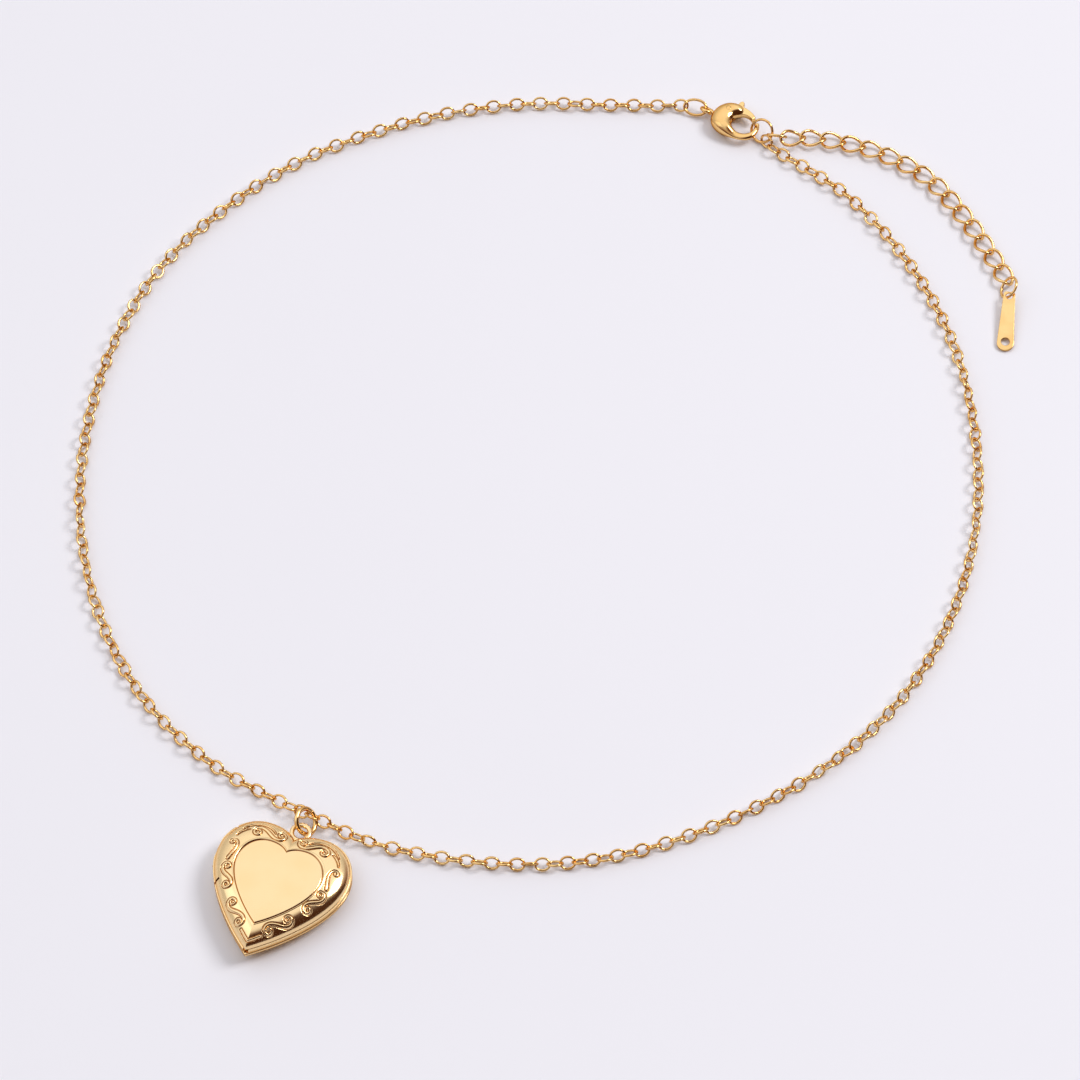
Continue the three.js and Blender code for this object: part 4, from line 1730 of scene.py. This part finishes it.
# ---- the extender --------------------------------------------------------------------------
@dataclass
class Extender:
    """The extender: twisted curb links, a ring and the drop tag at its end.

    Attributes:
        links: How many links.
        near_links: How many of them lie before the bend.
        wire: Radius of a link's wire.
        half_width: From a link's middle to its wire's centre at a side.
        twist: Degrees that each end of a link is turned from its middle.
        hook_gap: Play where two links hook together, mm.
        rest: Height of the chain's middle line where it lies on a table.
        route: What the chain passes through, x and y, or with a height of its own.
        ring: Radius of the tag's ring, to the middle of its wire.
        ring_wire: Radius of that wire.
        ring_yaw: Which way the ring hangs from the last link, degrees.
        ring_roll: Degrees it leans.
        ring_height: Its middle's height.
        tag_length: Of the tag, from its top to its round foot.
        tag_top: From the tag's upper hole to its top edge.
        tag_shoulder: From that hole up to where its sides start to draw in.
        tag_wide: Half width at its foot.
        tag_narrow: Half width at its shoulder.
        tag_thick: Its thickness.
        tag_yaw: Degrees it is turned about Z.
        tag_tilt: Degrees its plate leans.
    """

    links: int = 15
    near_links: int = 8
    wire: float = 0.225
    half_width: float = 1.275
    twist: float = 38.0
    hook_gap: float = 0.16
    rest: float = 0.8
    route: Route = (
        (22.95, 147.5, 1.4), (26.0, 149.15, 1.0), (30.4, 150.2), (36.4, 150.5), (45.1, 148.6),
        (52.7, 143.5), (58.6, 138.2), (62.5, 134.3),
    )
    ring: float = 1.6
    ring_wire: float = 0.195
    ring_yaw: float = -70.0
    ring_roll: float = 50.0
    ring_height: float = 1.4
    tag_length: float = 9.8
    tag_top: float = 0.75
    tag_shoulder: float = 0.45
    tag_wide: float = 1.25
    tag_narrow: float = 0.85
    tag_thick: float = 0.3
    tag_yaw: float = 14.0
    tag_tilt: float = 7.4

    def joints(self) -> Array:
        """Places where links meet, spread evenly along the route."""
        line = centripetal(np.array([(*spot, self.rest)[:3] for spot in self.route]))
        return evenly(line, self.links + 1)

    def link(self, tail: Array, head: Array) -> Surface:
        """Works out one link.

        Args:
            tail: Where it hooks on to the link before.
            head: Where it hooks on to the next.

        Returns:
            The link in its place, its length along the chord.
        """
        chord = head - tail
        span = float(np.linalg.norm(chord))
        half_length = span / 2 + self.wire + self.hook_gap / 2
        oval = WireOval(half_length, self.half_width, self.wire, self.twist, steps=48, sides=14)
        yaw = float(np.degrees(np.arctan2(chord[1], chord[0])))
        pitch = float(np.degrees(np.arcsin(-chord[2] / span)))
        return oval.surface().placed(tuple((tail + head) / 2), yaw, 0.0, pitch)

    def tag_blank(self) -> Surface:
        """Works out the tag's plate: narrow at its ring end, with a round foot."""
        foot = self.tag_wide + self.tag_top - self.tag_length
        corner = (self.tag_narrow - 0.25, self.tag_top)
        shoulder = (self.tag_narrow, self.tag_shoulder)
        left_corner, left_shoulder = (-corner[0], corner[1]), (-shoulder[0], shoulder[1])
        bend = np.linspace(np.pi, TURN, 40)
        outline = np.concatenate([
            np.linspace(left_corner, left_shoulder, 4, endpoint=False),
            np.linspace(left_shoulder, (-self.tag_wide, foot), 20, endpoint=False),
            np.stack([self.tag_wide * np.cos(bend), foot + self.tag_wide * np.sin(bend)], axis=1),
            np.linspace((self.tag_wide, foot), shoulder, 20, endpoint=False)[1:],
            np.linspace(shoulder, corner, 5),
        ])
        return rounded_plate(outline, self.tag_thick / 2, 0.07)

    def eased_hole(self, x: float, y: float, radius: float) -> Surface:
        """A cutter whose ends flare, so that a hole's rims come out eased."""
        half = self.tag_thick / 2
        profile = np.array([
            (radius + 0.3, -half - 0.2), (radius + 0.06, -half - 0.001), (radius, -half + 0.06),
            (radius, half - 0.06), (radius + 0.06, half + 0.001), (radius + 0.3, half + 0.2),
        ])
        return lathe(profile, 40).placed((x, y, 0.0))

    def make(self, dresser: Dresser) -> None:
        """Makes and dresses the links, the ring and the tag."""
        joints = self.joints()
        for number, (tail, head) in enumerate(zip(joints[:-1], joints[1:]), start=1):
            body = "extender_near" if number <= self.near_links else "extender_far"
            piece = build(f"curb_link_{number:02d}", self.link(tail, head), WIRE_CREASE)
            dresser.dress(piece, Finish.POLISHED, body, f"extender_link_{number:02d}")
        angle = np.radians(self.ring_yaw)
        way = np.array([np.cos(angle), np.sin(angle)])
        centre = joints[-1, :2] + (self.ring - self.wire - self.hook_gap / 2) * way
        ring = WireOval(self.ring, self.ring, self.ring_wire, split=RING_CUT)
        placed = ring.surface().placed(
            (*centre, self.ring_height), self.ring_yaw, self.ring_roll,
        )
        dresser.dress(build("tag_jump_ring", placed), Finish.POLISHED, "tag_ring", "tag_ring")
        at = (*(centre + self.ring * way), self.ring_height)
        holes = [self.eased_hole(0.0, 0.0, 0.5), self.eased_hole(0.0, 2.2 - self.tag_length, 0.62)]
        blank = build("end_tag", self.tag_blank().placed(at, self.tag_yaw, self.tag_tilt))
        tag = worked(blank, [
            (Cut.TAKE_AWAY, hole.placed(at, self.tag_yaw, self.tag_tilt)) for hole in holes
        ])
        dresser.dress(tag, Finish.POLISHED, "drop_tag", "drop_tag")


# ---- the studio ----------------------------------------------------------------------------
@dataclass
class Studio:
    """A pale table, soft light and the camera. Places are millimetres.

    Attributes:
        eye: Where the camera stands.
        aim: What it looks at.
        lens: Its focal length, on a sensor of sensor mm.
        sensor: Width of the sensor.
        table: Side of the table top.
        table_drop: How far the table top lies under the necklace.
        table_tones: The two colours that its mottle drifts between.
        middle: What the lamps face.
        flag: Direction of the dark warm patch in the room.
        flag_edge: Cosines from that direction where the patch begins and is full.
        flag_level: Brightness of the patch.
        shade_tone: Tint of what is dark.
        light_tone: Tint of what is bright.
        level: Brightness of the room.
    """

    eye: Place = (175.67, -368.61, 704.28)
    aim: Place = (13.63, 68.48, 0.0)
    lens: float = 197.33
    sensor: float = 36.0
    table: float = 3000.0
    table_drop: float = 0.05
    table_tones: tuple[Colour, Colour] = ((0.855, 0.865, 0.925, 1.0), (0.875, 0.885, 0.945, 1.0))
    middle: Place = (10.0, 70.0, 0.0)
    flag: Place = (0.779, -0.253, 0.574)
    flag_edge: Spot = (0.64, 0.8)
    flag_level: float = 0.07
    shade_tone: Colour = (1.0, 0.3, 0.08, 1.0)
    light_tone: Colour = (1.0, 1.0, 1.02, 1.0)
    level: float = 0.91

    def camera(self) -> None:
        """Sets up a long lens that looks down on the table, level with the horizon."""
        lens = bpy.data.cameras.new("table_camera")
        lens.lens, lens.sensor_width = self.lens, self.sensor
        lens.clip_start, lens.clip_end = 0.01, 20.0
        camera = bpy.data.objects.new("table_camera", lens)
        camera.location = Vector(self.eye) * MM
        sight = Vector(self.aim) * MM - camera.location
        camera.rotation_euler = sight.to_track_quat("-Z", "Y").to_euler()
        bpy.context.scene.collection.objects.link(camera)
        bpy.context.scene.camera = camera

    def floor(self) -> None:
        """Lays the table top: one large pale sheet with a barely seen mottle."""
        half, z = self.table * MM / 2, -self.table_drop * MM
        corners = [(-half, -half, z), (half, -half, z), (half, half, z), (-half, half, z)]
        mesh = bpy.data.meshes.new("table_top")
        mesh.from_pydata(corners, [], [(0, 1, 2, 3)])
        sheet = bpy.data.objects.new("table_top", mesh)
        bpy.context.scene.collection.objects.link(sheet)
        material, bench, shader = start_material("pale_table")
        place = bench.add("ShaderNodeTexCoord").outputs["Object"]
        mottle = bench.add("ShaderNodeTexNoise", {"Vector": place, "Scale": 9.0})
        bench.join(bench.blend(mottle.outputs[0], *self.table_tones), shader, "Base Color")
        shader.inputs["Roughness"].default_value = 0.9
        mesh.materials.append(material)

    def lamp(self, name: str, at: Place, size: float, power: float, tint: Place) -> None:
        """Hangs a square soft light that faces the necklace's middle.

        Args:
            name: The lamp's name.
            at: Its place, mm.
            size: Length of its side, mm.
            power: In watts.
            tint: Its red, green and blue.
        """
        light = bpy.data.lights.new(name, "AREA")
        light.energy, light.size, light.color = power, size * MM, tint
        lamp = bpy.data.objects.new(name, light)
        lamp.location = Vector(at) * MM
        sight = Vector(self.middle) * MM - lamp.location
        lamp.rotation_euler = sight.to_track_quat("-Z", "Y").to_euler()
        bpy.context.scene.collection.objects.link(lamp)

    def room(self) -> None:
        """Lights the room: bright overhead, greyer low down, a warm dark patch near on the right.

        High up the light grows toward the far wall; low down it fades toward the near right.
        The patch lies over both, and whatever is dark is tinted warm.
        """
        world = bpy.data.worlds.new("soft_room")
        world.use_nodes = True
        bpy.context.scene.world = world
        bench = Bench(world.node_tree)
        background = world.node_tree.nodes["Background"]
        way = bench.add("ShaderNodeTexCoord").outputs["Generated"]
        parts = bench.add("ShaderNodeSeparateXYZ", {0: way})
        height = bench.span(parts.outputs[2], 0.2, 0.7)
        low = bench.span(bench.toward(way, (0.78, -0.62, 0.0)), -0.4, 0.35, 0.75, 0.05)
        high = bench.span(bench.toward(way, (-0.19, 0.52, 0.83)), 0.35, 0.95, 0.62, 1.25)
        open_room = bench.add("ShaderNodeMix", {0: height, 2: low, 3: high})
        cover = bench.span(bench.toward(way, self.flag), *self.flag_edge)
        shade = bench.add(
            "ShaderNodeMix", {0: cover, 2: open_room.outputs[0], 3: self.flag_level},
        ).outputs[0]
        tint = bench.blend(bench.span(shade, 0.0, 0.7), self.shade_tone, self.light_tone)
        lit = bench.add("ShaderNodeVectorMath", {0: tint, "Scale": shade}, operation="SCALE")
        bench.join(lit.outputs[0], background, "Color")
        background.inputs["Strength"].default_value = self.level

    def make(self) -> None:
        """Sets up the whole studio."""
        self.camera()
        self.floor()
        self.room()
        self.lamp("window_light", (840.0, 660.0, 1120.0), 560.0, 11.0, (1.0, 0.98, 0.98))
        self.lamp("fill_light", (-450.0, -100.0, 500.0), 500.0, 0.4, (0.97, 0.98, 1.0))
        bpy.context.scene.view_settings.view_transform = "Standard"


def main() -> None:
    """Makes the studio and every piece of the necklace."""
    logging.basicConfig(level=logging.INFO, format="%(name)s: %(message)s")
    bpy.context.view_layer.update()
    Studio().make()
    dresser = Dresser()
    NeckChain().make(dresser)
    Locket().make(dresser)
    for ring in RINGS:
        ring.make(dresser)
    LobsterClasp().make(dresser)
    Extender().make(dresser)


if __name__ == "__main__":
    main()
